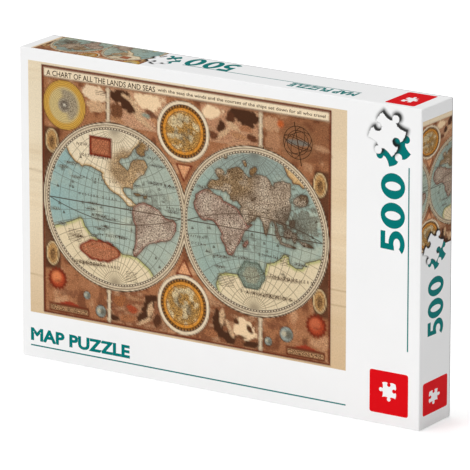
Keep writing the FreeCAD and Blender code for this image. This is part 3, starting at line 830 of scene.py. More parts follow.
@dataclass(frozen=True)
class Shading:
    """Shorthands for the nodes that most finishes use. Each returns the new node's output socket."""

    tree: bpy.types.NodeTree

    def math(self, operation: str, *values: object, clamp: bool = False) -> Socket:
        """Arithmetic on numbers or outputs, by the operation's name."""
        inputs = dict(enumerate(values))
        return add_node(self.tree, "ShaderNodeMath", inputs, operation=operation, use_clamp=clamp).outputs[0]

    def ramp(self, value: object, low: float, high: float, start: float, end: float) -> Socket:
        """A straight ramp from start, where the value is low, to end, where it is high."""
        inputs = {0: value, 1: low, 2: high, 3: start, 4: end}
        return add_node(self.tree, "ShaderNodeMapRange", inputs).outputs[0]

    def mix(self, share: object, one: object, other: object) -> Socket:
        """A colour that goes from one to the other as the share goes from 0 to 1."""
        return add_node(self.tree, "ShaderNodeMix", {0: share, 6: one, 7: other}, data_type="RGBA").outputs[2]

    def noise(self, place: object, scale: float, **settings: float) -> Socket:
        """Soft noise as one number, with its other inputs by name."""
        inputs = {"Vector": place, "Scale": scale, **settings}
        return add_node(self.tree, "ShaderNodeTexNoise", inputs).outputs["Fac"]

    def cracks(self, place: object, scale: float) -> Socket:
        """The distance to the nearest edge between random cells."""
        inputs = {"Vector": place, "Scale": scale, "Randomness": 1.0}
        return add_node(self.tree, "ShaderNodeTexVoronoi", inputs, feature="DISTANCE_TO_EDGE").outputs["Distance"]

    def bend(self, offset: object, reach: tuple[float, float, float], place: object) -> Socket:
        """A place moved by a colour's three values, each times its reach."""
        inputs = {0: offset, 1: reach, 2: place}
        return add_node(self.tree, "ShaderNodeVectorMath", inputs, operation="MULTIPLY_ADD").outputs[0]

    def parts(self, vector: object) -> tuple[Socket, ...]:
        """A vector's three numbers."""
        return tuple(add_node(self.tree, "ShaderNodeSeparateXYZ", {0: vector}).outputs)

    def place(self) -> Socket:
        """The place on the object, in metres."""
        return add_node(self.tree, "ShaderNodeTexCoord").outputs["Object"]

    def read(self, name: str, kind: str = "Fac") -> Socket:
        """A painted attribute, as a number or as a vector."""
        return add_node(self.tree, "ShaderNodeAttribute", attribute_name=name).outputs[kind]

    def relief(self, shader: bpy.types.Node, height: object, strength: float, distance: float) -> None:
        """Gives the shader a bump, with its distance in millimetres."""
        inputs = {"Strength": strength, "Distance": distance * MM, "Height": height}
        bump = add_node(self.tree, "ShaderNodeBump", inputs)
        self.tree.links.new(bump.outputs[0], shader.inputs["Normal"])


def darker(colour: str, share: float) -> tuple[float, ...]:
    """A hex colour's linear values, each times a share, with full alpha."""
    return (*(share * c for c in linear(colour)), 1.0)


def new_material(name: str, inputs: dict) -> tuple[bpy.types.Material, Shading, bpy.types.Node]:
    """Starts a material with one Principled shader.

    Args:
        name: The material's name.
        inputs: The shader's own socket values.

    Returns:
        The material, its node tree's shorthands and the shader.
    """
    material = bpy.data.materials.new(name)
    material.use_nodes = True
    tree = material.node_tree
    tree.nodes.clear()
    shader = add_node(tree, "ShaderNodeBsdfPrincipled", inputs)
    add_node(tree, "ShaderNodeOutputMaterial", {"Surface": shader.outputs[0]})
    return material, Shading(tree), shader


COATED = {"IOR": 1.45, "Specular IOR Level": 0.03}
SHADE = rgba("#1c1c1c")              # the printed shadow's ink


@dataclass(frozen=True)
class CoatedPrint:
    """Matt-laminated art paper with one flat ink, or none. It looks smooth and even, with hardly a reflection."""

    name: str
    colour: str
    roughness: float = 0.5
    wave: float = 14.0               # spacing of the board's faint waviness under the paper

    def make(self) -> bpy.types.Material:
        """Builds the material: the ink, darkened by the printed shade, over a faintly wavy sheet."""
        material, nodes, shader = new_material(self.name, {**COATED, "Roughness": self.roughness})
        place = nodes.place()
        even = nodes.mix(nodes.noise(place, 1 / (30 * MM), Detail=2.0), rgba(self.colour), darker(self.colour, 0.965))
        nodes.tree.links.new(nodes.mix(nodes.read("shade"), even, SHADE), shader.inputs["Base Color"])
        ripple = nodes.noise(place, 1 / (self.wave * MM), Detail=3.0, Roughness=0.55)
        nodes.relief(shader, ripple, 0.08, 0.25)
        return material


@dataclass(frozen=True)
class MapPrint:
    """The map's picture: hand-coloured engraving, printed in four colours on coated paper or puzzle board."""

    name: str
    sheet: MapSheet
    roughness: float = 0.5

    def make(self) -> bpy.types.Material:
        """Builds the material from the painting's attributes, which are in millimetres on the sheet.

        Lines come from distances: a place is inked where a distance is under half the line's width, softened
        over a tenth of a millimetre. The engraving is a net of fine cells and strokes about a millimetre apart,
        drawn coarser than real engraving so that it shows.
        """
        material, nodes, shader = new_material(self.name, {**COATED, "Roughness": self.roughness})
        place = nodes.read("place", "Vector")
        rims = nodes.parts(nodes.read("rims", "Vector"))
        inks = [self.engraving(nodes, place), self.chart(nodes, rims[0]), *self.frames(nodes, place, rims)]
        total = inks[0]
        for ink in inks[1:]:
            total = nodes.math("MAXIMUM", total, ink)
        fibre = nodes.noise(place, 0.9, Detail=4.0, Roughness=0.65)
        paper = add_node(nodes.tree, "ShaderNodeVectorMath", {
            0: nodes.read("wash", "Vector"), "Scale": nodes.ramp(fibre, 0.25, 0.75, 0.86, 1.10),
        }, operation="SCALE").outputs[0]
        inked = nodes.mix(total, paper, rgba("#3d281a"))
        nodes.tree.links.new(nodes.mix(nodes.read("shade"), inked, SHADE), shader.inputs["Base Color"])
        return material

    @staticmethod
    def engraving(nodes: Shading, place: Socket) -> Socket:
        """The net of cells and the strokes over it, as strong as the painting says."""
        warp = add_node(nodes.tree, "ShaderNodeTexNoise", {"Vector": place, "Scale": 0.55, "Detail": 2.0})
        bent = nodes.bend(warp.outputs["Color"], (2.2, 2.2, 0.0), place)
        net = nodes.ramp(nodes.cracks(bent, 0.62), 0.02, 0.20, 1.0, 0.0)
        strokes = nodes.ramp(nodes.noise(bent, 1.1, Detail=3.0, Roughness=0.7), 0.44, 0.64, 0.0, 1.0)
        both = nodes.math("MULTIPLY_ADD", net, 0.55, strokes)
        return nodes.math("MULTIPLY", both, nodes.read("engraving"), clamp=True)

    def chart(self, nodes: Shading, rim: Socket) -> Socket:
        """The lines in the two discs: every ten degrees, the equator, the ecliptic and the coasts."""
        turns = nodes.parts(nodes.read("turns", "Vector"))
        spacing = nodes.parts(nodes.read("spacing", "Vector"))
        gaps = [nodes.math("MULTIPLY", nodes.math("PINGPONG", turns[i], 0.5), spacing[i]) for i in (0, 1)]
        level = nodes.math("MULTIPLY", nodes.math("ABSOLUTE", turns[1]), spacing[1])
        lift = nodes.math("ABSOLUTE", nodes.math("ADD", turns[1], turns[2]))
        drawn = nodes.ramp(nodes.math("MINIMUM", *gaps), 0.12, 0.40, 0.58, 0.0)
        for line in (
            nodes.ramp(level, 0.3, 0.6, 0.85, 0.0),
            nodes.ramp(nodes.math("MULTIPLY", lift, spacing[1]), 0.25, 0.6, 0.8, 0.0),
            nodes.ramp(nodes.math("ABSOLUTE", nodes.read("coast")), 0.18, 0.5, 0.75, 0.0),
        ):
            drawn = nodes.math("MAXIMUM", drawn, line)
        return nodes.math("MULTIPLY", drawn, nodes.ramp(rim, self.sheet.disc, self.sheet.disc - 0.3, 0.0, 1.0))

    def frames(self, nodes: Shading, place: Socket, rims: tuple[Socket, ...]) -> list[Socket]:
        """The rings and ladders round the discs and medallions, and the grooves of the sky disc."""
        s, inks = self.sheet, []
        x, y, _ = nodes.parts(place)
        aside = nodes.math("SUBTRACT", nodes.math("ABSOLUTE", nodes.math("SUBTRACT", x, s.middle)), s.spread)
        above = nodes.math("SUBTRACT", y, s.equator)
        by = nodes.math("SUBTRACT", x, s.medal_x)
        over = nodes.math("SUBTRACT", nodes.math("ABSOLUTE", nodes.math("SUBTRACT", y, s.medal_middle)), s.medal_spread)
        for distance, dx, dy, base, steps, count, low, high in (
            (rims[0], aside, above, s.disc, (0.2, 1.5, 3.4, 5.0), 150.0, 0.3, 1.4),
            (rims[1], by, over, s.medal, (-2.6, -4.6, -7.4), 44.0, -4.4, -2.7),
        ):
            for step in steps:
                gap = nodes.math("ABSOLUTE", nodes.math("SUBTRACT", distance, base + step))
                inks.append(nodes.ramp(gap, 0.15, 0.45, 0.8, 0.0))
            turn = nodes.math("MULTIPLY", nodes.math("ARCTAN2", dy, dx), count)
            bars = nodes.ramp(nodes.math("SINE", turn), -0.3, 0.3, 0.85, 0.0)
            band = nodes.math("COMPARE", distance, base + (low + high) / 2, (high - low) / 2)
            inks.append(nodes.math("MULTIPLY", bars, band))
        hub = add_node(nodes.tree, "ShaderNodeVectorMath", {
            0: place, 1: (*SKY_DISC, 0.0),
        }, operation="DISTANCE").outputs["Value"]
        cuts = nodes.ramp(nodes.math("PINGPONG", hub, 0.6), 0.1, 0.4, 0.55, 0.0)
        return [*inks, nodes.math("MULTIPLY", cuts, nodes.math("LESS_THAN", hub, 17.8))]


@dataclass(frozen=True)
class GreyBoard:
    """Recycled greyboard, pressed from mixed waste paper. It is matt, with short pale and dark fibres in it."""

    name: str
    colour: str
    pale: str
    dark: str
    fibre: float = 1.6               # length of the fibres that show

    def make(self) -> bpy.types.Material:
        """Builds the material: a cloudy grey, flecked with stretched noise, and a felted bump."""
        material, nodes, shader = new_material(self.name, {"Roughness": 0.88, "IOR": 1.5})
        place = nodes.place()
        fleck = nodes.noise(place, 1 / (self.fibre * MM), Detail=3.0, Distortion=1.5)
        cloud = nodes.noise(place, 1 / (9 * MM), Detail=4.0)
        base = nodes.mix(cloud, rgba(self.colour), darker(self.colour, 0.82))
        pale = nodes.mix(nodes.ramp(fleck, 0.60, 0.72, 0.0, 0.7), base, rgba(self.pale))
        full = nodes.mix(nodes.ramp(fleck, 0.40, 0.30, 0.0, 0.6), pale, rgba(self.dark))
        nodes.tree.links.new(full, shader.inputs["Base Color"])
        nodes.relief(shader, fleck, 0.35, 0.1)
        return material


@dataclass(frozen=True)
class ClearFilm:
    """Clear cast polypropylene film. It is nearly invisible where it faces the eye; the glints along its creases are
    painted, as whiter, less see-through lines.
    """

    name: str = "clear_polypropylene_film"
    crease: float = 5.0              # spacing of the fine crinkles
    facet: float = 17.0              # size of the flats between the long creases

    def make(self) -> bpy.types.Material:
        """Builds the material: thin, glossy, with crinkles too fine for the mesh.

        It is nearly wholly see-through, except along creases, where a painted glint makes the whitish film more opaque:
        the edges between cells of a bent cell pattern, of which a slow noise leaves about half.
        """
        material, nodes, shader = new_material(self.name, {
            "Base Color": rgba("#f4f7f8"), "Roughness": 0.08, "IOR": 1.49, "Specular IOR Level": 0.9,
        })
        place = nodes.place()
        drift = add_node(nodes.tree, "ShaderNodeTexNoise", {"Vector": place, "Scale": 1 / (25 * MM), "Detail": 3.0})
        bent = nodes.bend(drift.outputs["Color"], (14 * MM, 14 * MM, 14 * MM), place)
        # Painted glint: the film is made more opaque along the creases, so that its whitish colour shows there as
        # highlights.
        painted_crease_glint = nodes.ramp(nodes.cracks(bent, 1 / (self.facet * MM)), 0.004, 0.03, 1.0, 0.0)
        kept = nodes.ramp(drift.outputs["Fac"], 0.42, 0.58, 0.0, 0.16)
        alpha = nodes.math("MULTIPLY_ADD", painted_crease_glint, kept, 0.035)
        nodes.tree.links.new(alpha, shader.inputs["Alpha"])
        crinkle = nodes.noise(place, 1 / (self.crease * MM), Detail=2.0, Distortion=2.0)
        nodes.relief(shader, crinkle, 0.5, 0.8)
        return material


@dataclass(frozen=True)
class Finishes:
    """Every finish of the box and of what is in it, made once and shared."""

    sheet: MapSheet

    def make(self) -> Materials:
        """Builds the materials, by what they cover."""
        return {
            "card": CoatedPrint("matt_laminated_white_card", "#efefef").make(),
            "teal": CoatedPrint("teal_ink_on_coated_card", "#007370", 0.45).make(),
            "red": CoatedPrint("red_ink_on_coated_card", "#d80a14", 0.45).make(),
            # A mid grey for the strip along the rim: painted shade where lid and tray meet.
            "edge": CoatedPrint("painted_rim_shade", "#77777a", 0.7).make(),
            "sepia": CoatedPrint("sepia_ink_on_coated_card", "#3b2718", 0.45).make(),
            "picture": MapPrint("four_colour_map_print", self.sheet).make(),
            "piece_face": MapPrint("map_print_on_puzzle_board", self.sheet, 0.45).make(),
            "greyboard": GreyBoard("recycled_greyboard", "#b3aca0", "#d3ccbf", "#6b665e").make(),
            "blue_board": GreyBoard("blue_grey_puzzle_board", "#9aa0a0", "#c9cccb", "#636868", 1.0).make(),
            "kraft": GreyBoard("gummed_kraft_paper", "#b5926a", "#cfb08a", "#7c5d3f", 1.2).make(),
            "film": ClearFilm().make(),
        }


# ---------------------------------------------------------------- what is printed on the box


class Ink(IntEnum):
    """The printed wrap's material slots."""

    CARD = 0
    PICTURE = 1
    TEAL = 2
    RED = 3
    SEPIA = 4
    # The grey strip along the rim, a painted shade where lid and tray meet.
    RIM_SHADE = 5


@dataclass
class Mark:
    """One printed shape on a face: its outlines, in the face's reading frame, and its ink."""

    ink: Ink
    loops: list[Array]

    def moved(self, right: float, up: float, wide: float = 1.0, tall: float = 1.0) -> "Mark":
        """A copy, first stretched and then moved."""
        return Mark(self.ink, [loop * (wide, tall) + (right, up) for loop in self.loops])


@dataclass
class Picture:
    """Where the map shows on a face: an outline, and which place on the map sheet lies at each of its points."""

    left: float
    right: float
    low: float
    high: float
    origin: tuple[float, float]      # the map's place at the face's reading origin
    across: tuple[float, float]      # how the map's place changes along the reading direction
    up: tuple[float, float]          # and across it
    pitch: float = 1.1               # spacing of the painted points

    def lines(self) -> tuple[Array, Array]:
        """Where the painted points' columns and rows lie."""
        spans = ((self.left, self.right), (self.low, self.high))
        wide, tall = (np.linspace(a, b, 1 + round((b - a) / self.pitch)) for a, b in spans)
        return wide, tall

    def loop(self) -> Array:
        """The outline's corners, with points along its edges at the painted points' spacing."""
        wide, tall = self.lines()
        return np.concatenate([
            np.stack([wide[:-1], np.full(len(wide) - 1, self.low)], 1),
            np.stack([np.full(len(tall) - 1, self.right), tall[:-1]], 1),
            np.stack([wide[:0:-1], np.full(len(wide) - 1, self.high)], 1),
            np.stack([np.full(len(tall) - 1, self.left), tall[:0:-1]], 1),
        ])

    def points(self) -> Array:
        """The painted points inside the outline, on a square grid."""
        wide, tall = self.lines()
        return np.stack(np.meshgrid(wide[1:-1], tall[1:-1]), 2).reshape(-1, 2)

    def on_sheet(self, places: Array) -> Array:
        """The map sheet's place at each place on the face."""
        return np.array(self.origin) + places[:, :1] * np.array(self.across) + places[:, 1:] * np.array(self.up)


@dataclass
class Emblem:
    """The sign for a jigsaw: a white piece floating over a teal one, with its shadow. Upright, about (0, 0)."""

    side: float = 22.4
    turn: float = -31.0
    bow: float = 0.054               # how far a side curves in or out, as a share of its length

    def outline(self, bulges: tuple[int, int, int, int]) -> Array:
        """A piece's outline: a square whose sides each carry a round knob outwards or inwards.

        Each side runs along a shallow bow to the neck, round a knob on the side that its bulge says, and along
        a second bow. A knob's radius is a seventh of the side's length.

        Args:
            bulges: 1 for a knob outwards and -1 for one inwards, anticlockwise from the lower side.

        Returns:
            The outline, of shape (n, 2).
        """
        half, knob = self.side / 2, self.side * 0.138
        rise = knob * 0.78
        lean = math.degrees(math.asin(rise / knob))
        neck = knob * math.cos(math.radians(lean))
        run = np.linspace(-half, -neck, 7)[:-1]
        parts = []
        for k, bulge in enumerate(bulges):
            ball = arc(0, -half - rise, knob, knob, 180 - lean, 360 + lean, 16)
            bow = self.bow * self.side * np.sin(np.pi * (run + half) / (half - neck) * 0.8)
            before = np.stack([run, -half + bow], 1)
            after = np.stack([-run[:0:-1], -half + bow[:0:-1]], 1)
            side = np.concatenate([before, ball, after])
            side[1:, 1] = -half + (side[1:, 1] + half) * bulge
            parts.append(turned(side, 90 * k))
        return np.concatenate(parts)

    def marks(self) -> list[Mark]:
        """The teal piece and then the white one over it."""
        under = Emblem(side=self.side * 0.92)
        teal = turned(under.outline((-1, 1, -1, 1)), self.turn + 63.5) + (5.0, -8.4)
        return [Mark(Ink.TEAL, [teal]), Mark(Ink.CARD, [self.white()])]

    def white(self) -> Array:
        """The white piece's outline."""
        return turned(self.outline((1, -1, 1, -1)), self.turn)


class Lettering:
    """Printed words and numerals, as outlines."""

    @staticmethod
    def words(text: str, weight: float, cap_height: float, spacing: float = 1.0) -> list[Array]:
        """The outlines of some words in the built-in typeface, made bolder.

        Args:
            text: The words.
            weight: How far each outline moves outwards, as a share of the type's size.
            cap_height: The capitals' height in millimetres.
            spacing: How far apart the letters are set, against the typeface's own spacing.

        Returns:
            The outlines, from x = 0 on the baseline.
        """
        curve = bpy.data.curves.new("type", "FONT")
        curve.body = text
        curve.offset = weight
        curve.space_character = spacing
        curve.resolution_u = 3
        holder = bpy.data.objects.new("type", curve)
        bpy.context.scene.collection.objects.link(holder)
        graph = bpy.context.evaluated_depsgraph_get()
        mesh = bpy.data.meshes.new_from_object(holder.evaluated_get(graph))
        points = np.array([v.co[:2] for v in mesh.vertices])
        used: dict[tuple[int, int], int] = {}
        for polygon in mesh.polygons:
            for key in polygon.edge_keys:
                used[key] = used.get(key, 0) + 1
        following: dict[int, list[int]] = {}
        for (a, b), times in used.items():
            if times == 1:
                following.setdefault(a, []).append(b)
                following.setdefault(b, []).append(a)
        bpy.data.objects.remove(holder)
        bpy.data.curves.remove(curve)
        bpy.data.meshes.remove(mesh)
        loops, seen = [], set()
        for start in sorted(following):
            ring, here = [], start
            while here is not None and here not in seen:
                seen.add(here)
                ring.append(here)
                here = next((n for n in following[here] if n not in seen), None)
            if len(ring) > 2:
                loops.append(points[ring])
        everything = np.concatenate(loops)
        low = min(loop[:, 1].min() for loop in loops)
        scale = cap_height / (everything[:, 1].max() - low)
        return [(loop - (everything[:, 0].min(), low)) * scale for loop in loops]

    @staticmethod
    def numeral() -> list[Array]:
        """The bold 500, 56.5 wide and 19.5 high: a five from a bar, a stem and a bowl, and two oval noughts."""
        outer = arc(6.75, 6.5, 9.0, 6.5, 95, -140, 24)
        inner = arc(6.3, 6.45, 4.1, 2.65, -142, 122, 16)
        five = np.concatenate([
            np.array([(14.7, 15.7), (14.7, 19.5), (1.9, 19.5), (1.5, 8.5)]), inner[::-1], outer[::-1],
            np.array([(6.1, 15.7)]),
        ])
        loops = [five]
        for middle in (26.25, 47.25):
            loops.append(arc(middle, 9.75, 9.25, 9.75, 0, 360, 44)[:-1])
            loops.append(arc(middle, 9.75, 3.1, 6.2, 0, 360, 30)[:-1])
        return loops


def bar_loop(left: float, right: float, low: float, high: float, corner: float = 0.0) -> Array:
    """An upright oblong's outline, with its corners rounded by arcs of a given radius."""
    if corner <= 0:
        return np.array([(left, low), (right, low), (right, high), (left, high)], float)
    places = ((left, low, 180), (right, low, 270), (right, high, 0), (left, high, 90))
    parts = []
    for x, y, start in places:
        cx = x + corner if x == left else x - corner
        cy = y + corner if y == low else y - corner
        parts.append(arc(cx, cy, corner, corner, start, start + 90, 4))
    return np.concatenate(parts)


@dataclass
class FacePrint:
    """Everything printed on one face of a wrap, in its reading frame: right along u and up along v."""

    marks: list[Mark] = field(default_factory=list)
    pictures: list[Picture] = field(default_factory=list)
    shadow: Array | None = None      # outline of the shape that the printed shadow lies behind
    shadow_shift: tuple[float, float] = (0.0, 0.0)
    shadow_reach: float = 3.0

    def shade(self, places: Array) -> Array:
        """The printed shadow: darkest at the shape's moved outline, and gone at its reach from it."""
        if self.shadow is None:
            return np.zeros(len(places))
        away = signed_distance(places, loop_segments(self.shadow + self.shadow_shift), 6.0)
        hidden = signed_distance(places, loop_segments(self.shadow), 6.0)
        return 0.97 * np.clip(1 - np.maximum(away, -0.4) / self.shadow_reach, 0, 1) ** 1.6 * (hidden > -0.05)


WALL_INSIDE = 3.7                    # from the lid's outside to the tray's inside
PANEL_INSIDE = 1.45                  # from a panel's outside to its inside


@dataclass(frozen=True)
class Artwork:
    """The box's printed design. Every face is read with the tops of its letters towards the lid's panel."""

    sheet: MapSheet
    width: float
    height: float
    depth: float
    emblem: Emblem = field(default_factory=Emblem)
    margin: float = 7.5              # from the panel's left edge to the picture
    strip: float = 93.0              # length of the picture on a side wall
    line: float = 1.0                # weight of the thin teal rules

    def block(self, left: float, low: float, wide: float, tall: float) -> list[Mark]:
        """A rounded red block with a small white piece on it."""
        sign = Emblem(side=0.34 * tall).outline((1, -1, -1, 1)) * (wide / tall, 1.0)
        return [
            Mark(Ink.RED, [bar_loop(left, left + wide, low, low + tall, 1.8)]),
            Mark(Ink.CARD, [sign + (left + 0.5 * wide, low + 0.56 * tall)]),
        ]

    def panel(self) -> FacePrint:
        """The lid's front panel, seen upright: picture, count, emblem, words, rules and red block."""
        top = self.height
        picture = Picture(
            self.margin, self.margin + self.sheet.width, top - 8.9 - self.sheet.height, top - 8.9,
            (-self.margin, top - 8.9), (1.0, 0.0), (0.0, -1.0),
        )
        count = [self.upright(loop, 322.0, top - 104.5) for loop in Lettering.numeral()]
        marks = [Mark(Ink.TEAL, count)]
        marks.append(Mark(Ink.TEAL, [bar_loop(324.5, 324.5 + self.line, top - 174, top - 42.5)]))
        words = Mark(Ink.TEAL, Lettering.words("MAP PUZZLE", 0.043, 9.8))
        marks.append(words.moved(self.margin, top - 217.5, 86.2 / width_of(words.loops)))
        marks.append(Mark(Ink.TEAL, [bar_loop(self.margin, 275.0, top - 221.4, top - 221.4 + self.line)]))
        marks += self.block(294.5, top - 221.8, 31.3, 31.0)
        emblem = [m.moved(307.1, top - 21.2) for m in self.emblem.marks()]
        shadow = self.emblem.white() + (307.1, top - 21.2)
        return FacePrint(self.legends(picture) + marks + emblem, [picture], shadow, (1.3, 1.4))

    @staticmethod
    def legends(picture: Picture) -> list[Mark]:
        """The lettering in the map, set to widths and heights in millimetres at places on the map's sheet."""
        script = "with the seas the winds and the courses of the ships set down for all who travel"
        legends = (
            ("A CHART OF ALL THE LANDS AND SEAS", 15.8, 9.1, 93.0, 4.1, 1.0), (script, 111.0, 8.7, 139.0, 3.2, 1.0),
            ("NORTH SEA", 102.0, 58.3, 15.0, 1.7, 1.7), ("THE GREAT SEA", 44.0, 80.5, 32.0, 1.7, 2.2),
            ("WESTERN OCEAN", 42.5, 93.2, 33.0, 1.9, 2.2), ("MAIN SEA", 118.0, 92.4, 12.5, 1.8, 1.4),
            ("the South Seas", 59.0, 120.8, 25.0, 2.2, 1.4), ("THE SOUTH LAND", 43.0, 143.8, 35.0, 2.4, 1.7),
            ("THE SOUTHERN", 204.5, 129.2, 36.0, 2.3, 2.0), ("FAR LANDS", 180.5, 144.2, 42.0, 2.5, 2.6),
            ("EASTERN", 136.5, 109.8, 13.0, 1.7, 1.5), ("OCEAN", 139.0, 114.8, 12.0, 1.7, 1.9),
            ("Indian Sea", 198.5, 114.8, 13.0, 2.2, 1.3), ("NORTH COUNTRY", 44.0, 64.3, 27.0, 2.2, 1.5),
            ("NEW", 41.5, 56.6, 9.0, 2.2, 1.4), ("SEA", 113.0, 76.0, 9.0, 1.6, 1.8),
            ("The North", 196.0, 36.8, 11.0, 1.8, 1.2),
        )
        marks = []
        for text, x, y, wide, cap, spacing in legends:
            mark = Mark(Ink.SEPIA, Lettering.words(text, 0.012, cap, spacing))
            marks.append(mark.moved(picture.left + x, picture.high - y, wide / width_of(mark.loops)))
        notes = (
            (33.7, 120.0, 12.0, 8), (83.2, 144.2, 10.0, 7), (213.0, 110.8, 8.0, 8), (160.8, 133.4, 15.0, 8),
            (58.0, 15.0, 9.0, 3),
        )
        for x, y, wide, count in notes:
            start = picture.left + x
            for k in range(count):
                low = picture.high - y - 1.15 * k
                cut = wide * (0.3 + 0.4 * ((k * GOLDEN) % 1))
                for a, b in ((0.0, cut - 0.5), (cut, wide - 1.5 * ((k * 0.37) % 1))):
                    marks.append(Mark(Ink.SEPIA, [bar_loop(start + a, start + b, low, low + 0.32)]))
        ship = [np.array(one) for one in (
            ((-1.2, 0.5), (-0.8, 0.0), (0.8, 0.0), (1.3, 0.6)), ((-0.9, 0.8), (0.0, 0.8), (-0.1, 2.3)),
            ((0.15, 0.8), (1.0, 0.8), (0.3, 1.9)),
        )]
        ships = (
            (45, 66), (22, 77), (38, 89), (25, 90), (66, 114), (112, 80), (30, 109), (55, 107), (109, 131), (112, 137),
            (158, 115), (158, 122), (140, 104), (140, 76), (152, 119), (200, 106), (190, 101), (211, 106), (233, 103),
            (240, 96), (243, 84), (182, 107), (72, 127), (90, 128),
        )
        marks += [Mark(Ink.SEPIA, ship).moved(picture.left + x, picture.high - y) for x, y in ships]
        middle = np.array([picture.left + 227.5, picture.high - 28.6])
        for rx, ry, lean in (
            (12.0, 12.0, 0), (12.0, 4.2, -16), (5.0, 12.0, -16), (12.0, 7.2, 28), (9.0, 9.0, 0), (12.0, 2.6, -16),
        ):
            rings = [turned(arc(0, 0, rx - thin, ry - thin, 0, 360, 56)[:-1], lean) + middle for thin in (0.0, 0.5)]
            marks.append(Mark(Ink.SEPIA, rings))
        pin = np.array([(-3.4, 14.5), (-2.7, 14.7), (3.5, -16.5), (2.8, -16.7)]) + middle
        return [*marks, Mark(Ink.SEPIA, [pin])]

    def wall(self, length: float, words: bool, upright: bool) -> FacePrint:
        """A side wall, read along its length: red block, words, count, emblem and a strip of the map.

        Args:
            length: The wall's length.
            words: Whether there is room for the words and the rule.
            upright: Whether the map's top is towards the far end, and not towards the panel.

        Returns:
            The wall's print.
        """
        d = self.depth
        end = length - 9.0
        start = end - self.strip
        # The map's millimetres for one on the wall, along its length and across it.
        if upright:
            run, rise = 1 / 0.525, 1 / 0.68
            picture = Picture(start, end, 0.0, d, (117.9 + d * rise, 3.8 + end * run), (0.0, -run), (-rise, 0.0), 1.0)
        else:
            run, rise = 1 / 0.373, 1 / 0.46
            picture = Picture(start, end, 0.0, d, (10.8 - start * run, 27.3 + d * rise), (run, 0.0), (0.0, -rise), 0.9)
        marks = self.block(9.4, d - 37.4, 23.6, 33.0)
        first, base, wide, tall = (169.0, d - 38.4, 0.72, 1.05) if words else (64.4, d - 31.0, 0.755, 1.077)
        marks.append(Mark(Ink.TEAL, Lettering.numeral()).moved(first, base, wide, tall))
        if words:
            letters = Mark(Ink.TEAL, Lettering.words("MAP PUZZLE", 0.048, 9.6))
            marks.append(letters.moved(59.0, d - 16.0, 55.0 / width_of(letters.loops)))
            marks.append(Mark(Ink.TEAL, [bar_loop(59.0, 207.0, d - 17.9, d - 16.9)]))
        wide, tall = (0.63, 0.80) if words else (0.73, 0.87)
        centre = (start - 5.7, d - 21.0) if words else (start + 0.7, d - 16.9)
        emblem = [Mark(m.ink, [self.tipped(m.loops[0], wide, tall) + centre]) for m in self.emblem.marks()]
        shadow = self.tipped(self.emblem.white(), wide, tall) + centre
        return FacePrint(marks + emblem, [picture], shadow, (1.0, 0.8), 1.7)

    @staticmethod
    def upright(loop: Array, right: float, up: float) -> Array:
        """A loop turned a quarter anticlockwise and moved."""
        return np.stack([right - loop[:, 1], up + loop[:, 0]], 1)

    @staticmethod
    def tipped(loop: Array, wide: float, tall: float) -> Array:
        """A loop turned a quarter clockwise and stretched, so that its top is towards the reading direction."""
        return np.stack([loop[:, 1] * wide, -loop[:, 0] * tall], 1)

    def back(self) -> FacePrint:
        """The tray's back panel, seen upright: a small picture, the count and a rule on plain card."""
        top = self.height
        scale = 1 / 0.5
        wide, tall = self.sheet.width / scale, self.sheet.height / scale
        left, high = 22.0, top - 26.0
        origin = (-left * scale, high * scale)
        picture = Picture(left, left + wide, high - tall, high, origin, (scale, 0.0), (0.0, -scale), 1.2)
        marks = [
            Mark(Ink.TEAL, Lettering.numeral()).moved(left, 46.0, 0.8, 0.8),
            Mark(Ink.TEAL, Lettering.words("MAP PUZZLE", 0.028, 7.0)).moved(left + 52.0, 46.0),
            Mark(Ink.TEAL, [bar_loop(left, self.width - 26.0, 40.0, 40.0 + self.line)]),
        ]
        emblem = [m.moved(self.width - 60.0, 120.0, 1.6, 1.6) for m in self.emblem.marks()]
        shadow = self.emblem.white() * 1.6 + (self.width - 60.0, 120.0)
        return FacePrint(marks + emblem, [picture], shadow, (2.0, 2.2))


# ---------------------------------------------------------------- the wraps


